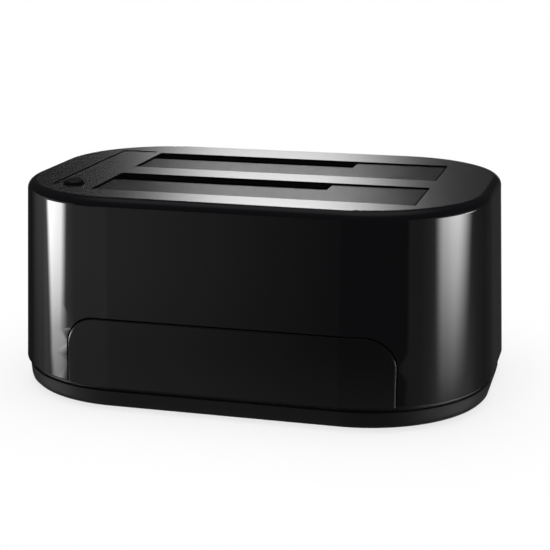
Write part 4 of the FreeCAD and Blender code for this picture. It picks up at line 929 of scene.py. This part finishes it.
def wash_light(front, height):
    """Faint wide glow round the horizon, part of it half as bright far down."""
    lower = 0.5 + 0.5 * height.ramp(*WASH_FOOT)
    level, *sides = FRONT_WASH
    wash = level * height.fall(*FRONT_WASH_TOP) * front.between(*sides)
    for level, *sides in LEFT_WASHES:
        wash = wash + level * front.between(*sides) * lower
    for level, *sides in RIGHT_WASHES:
        wash = wash + level * front.between(*sides)
    level, *edge = REAR_WASH
    wash = wash + level * front.size().rise(*edge)
    level, *edge = BEHIND_WASH
    wash = wash + level * front.size().rise(*edge) * lower
    return wash * height.fall(*WASH_TOP)


def studio_light(settings, front, back, height):
    """Level of the studio in one direction, from its three angles."""
    left = strip_light(front, height, **LEFT_STRIP)
    right = strip_light(front, height, **RIGHT_STRIP) * (0.75 + 0.25 * front.rise(*RIGHT_FULL))
    rear = strip_light(front, height, **REAR_STRIP)
    strips = (left + right + rear * REAR_SHARE) * settings.strip_glow
    behind = back.between(*BACK_SIDES) * height.ramp(*BACK_FOOT) * height.fall(*BACK_TOP)
    level, *edge = OVERHEAD
    overhead = level * height.rise(*edge)
    return (ROOM_GLOW + wash_light(front, height) + strips + behind * settings.back_glow
            + overhead)


def studio_air(settings):
    """World: white to the camera, and a dark studio with soft lights to glossy surfaces."""
    world = bpy.data.worlds.new("studio_air")
    bpy.context.scene.world = world
    g = Graph(world)
    x, y, z = g.axes("Generated")
    studio = studio_light(settings, x.turn(-y), x.turn(y), z.lift())
    path = g.add("ShaderNodeLightPath")
    seen, glossy, through = (Field(g, path.outputs[name]) for name in
                             ("Is Camera Ray", "Is Glossy Ray", "Is Transmission Ray"))
    shiny = glossy.highest(through)
    level = shiny * studio + (1.0 - shiny) * settings.air_fill
    sky = g.add("ShaderNodeBackground", {},
                {"Color": WHITE, "Strength": seen + (1.0 - seen) * level})
    g.add("ShaderNodeOutputWorld", {}, {"Surface": sky.outputs[0]})


class DOCK_OT_stage(bpy.types.Operator):
    """Set up the floor, the lights and the camera"""

    bl_idname = "dock.stage"
    bl_label = "Stage"

    def execute(self, context):
        settings = context.scene.dock_stage
        bpy.ops.object.select_all(action="DESELECT")
        bpy.ops.mesh.primitive_circle_add(vertices=96, radius=FLOOR_RADIUS, fill_type="NGON")
        floor = started("studio_floor")
        floor.data.materials.append(floor_finish(settings))
        floor.visible_glossy = False
        studio_air(settings)
        bpy.ops.object.light_add(type="AREA", location=LAMP_PLACE)
        lamp = context.object
        lamp.name = "overhead_softbox"
        lamp.data.shape = "SQUARE"
        lamp.data.size = LAMP_SIDE
        lamp.data.energy = settings.lamp_power
        lamp.visible_glossy = False
        bpy.ops.object.camera_add(location=settings.camera_place, rotation=settings.camera_turn)
        camera = context.object
        camera.name = "photo_camera"
        camera.data.sensor_width = SENSOR_WIDTH_MM
        camera.data.lens = settings.lens_mm
        camera.data.clip_start = NEAR_CLIP
        context.scene.camera = camera
        context.scene.view_settings.view_transform = "Standard"
        return {"FINISHED"}


class DOCK_PT_panel(bpy.types.Panel):
    """Lists the dock's settings and steps"""

    bl_idname = "DOCK_PT_panel"
    bl_label = "Drive Dock"
    bl_space_type = "VIEW_3D"
    bl_region_type = "UI"
    bl_category = "Drive Dock"

    def draw(self, context):
        for settings in (context.scene.dock_finish, context.scene.dock_stage):
            for name in settings.__annotations__:
                self.layout.prop(settings, name)
        for step in STEPS:
            self.layout.operator(step.bl_idname)


STEPS = (DOCK_OT_housing_finish, DOCK_OT_flap_finish, DOCK_OT_button_finish, DOCK_OT_bay_finish,
         DOCK_OT_electronics_finish, DOCK_OT_port_finish, DOCK_OT_screws, DOCK_OT_rocker_marks,
         DOCK_OT_port_contacts, DOCK_OT_chip_legs, DOCK_OT_stage)
CLASSES = (DockFinishSettings, DockStageSettings) + STEPS + (DOCK_PT_panel,)


def register():
    for kind in CLASSES:
        bpy.utils.register_class(kind)
    bpy.types.Scene.dock_finish = bpy.props.PointerProperty(type=DockFinishSettings)
    bpy.types.Scene.dock_stage = bpy.props.PointerProperty(type=DockStageSettings)


def unregister():
    del bpy.types.Scene.dock_stage
    del bpy.types.Scene.dock_finish
    for kind in reversed(CLASSES):
        bpy.utils.unregister_class(kind)


def main():
    register()
    for step in STEPS:
        group, name = step.bl_idname.split(".")
        getattr(getattr(bpy.ops, group), name)()


if __name__ == "__main__":
    main()
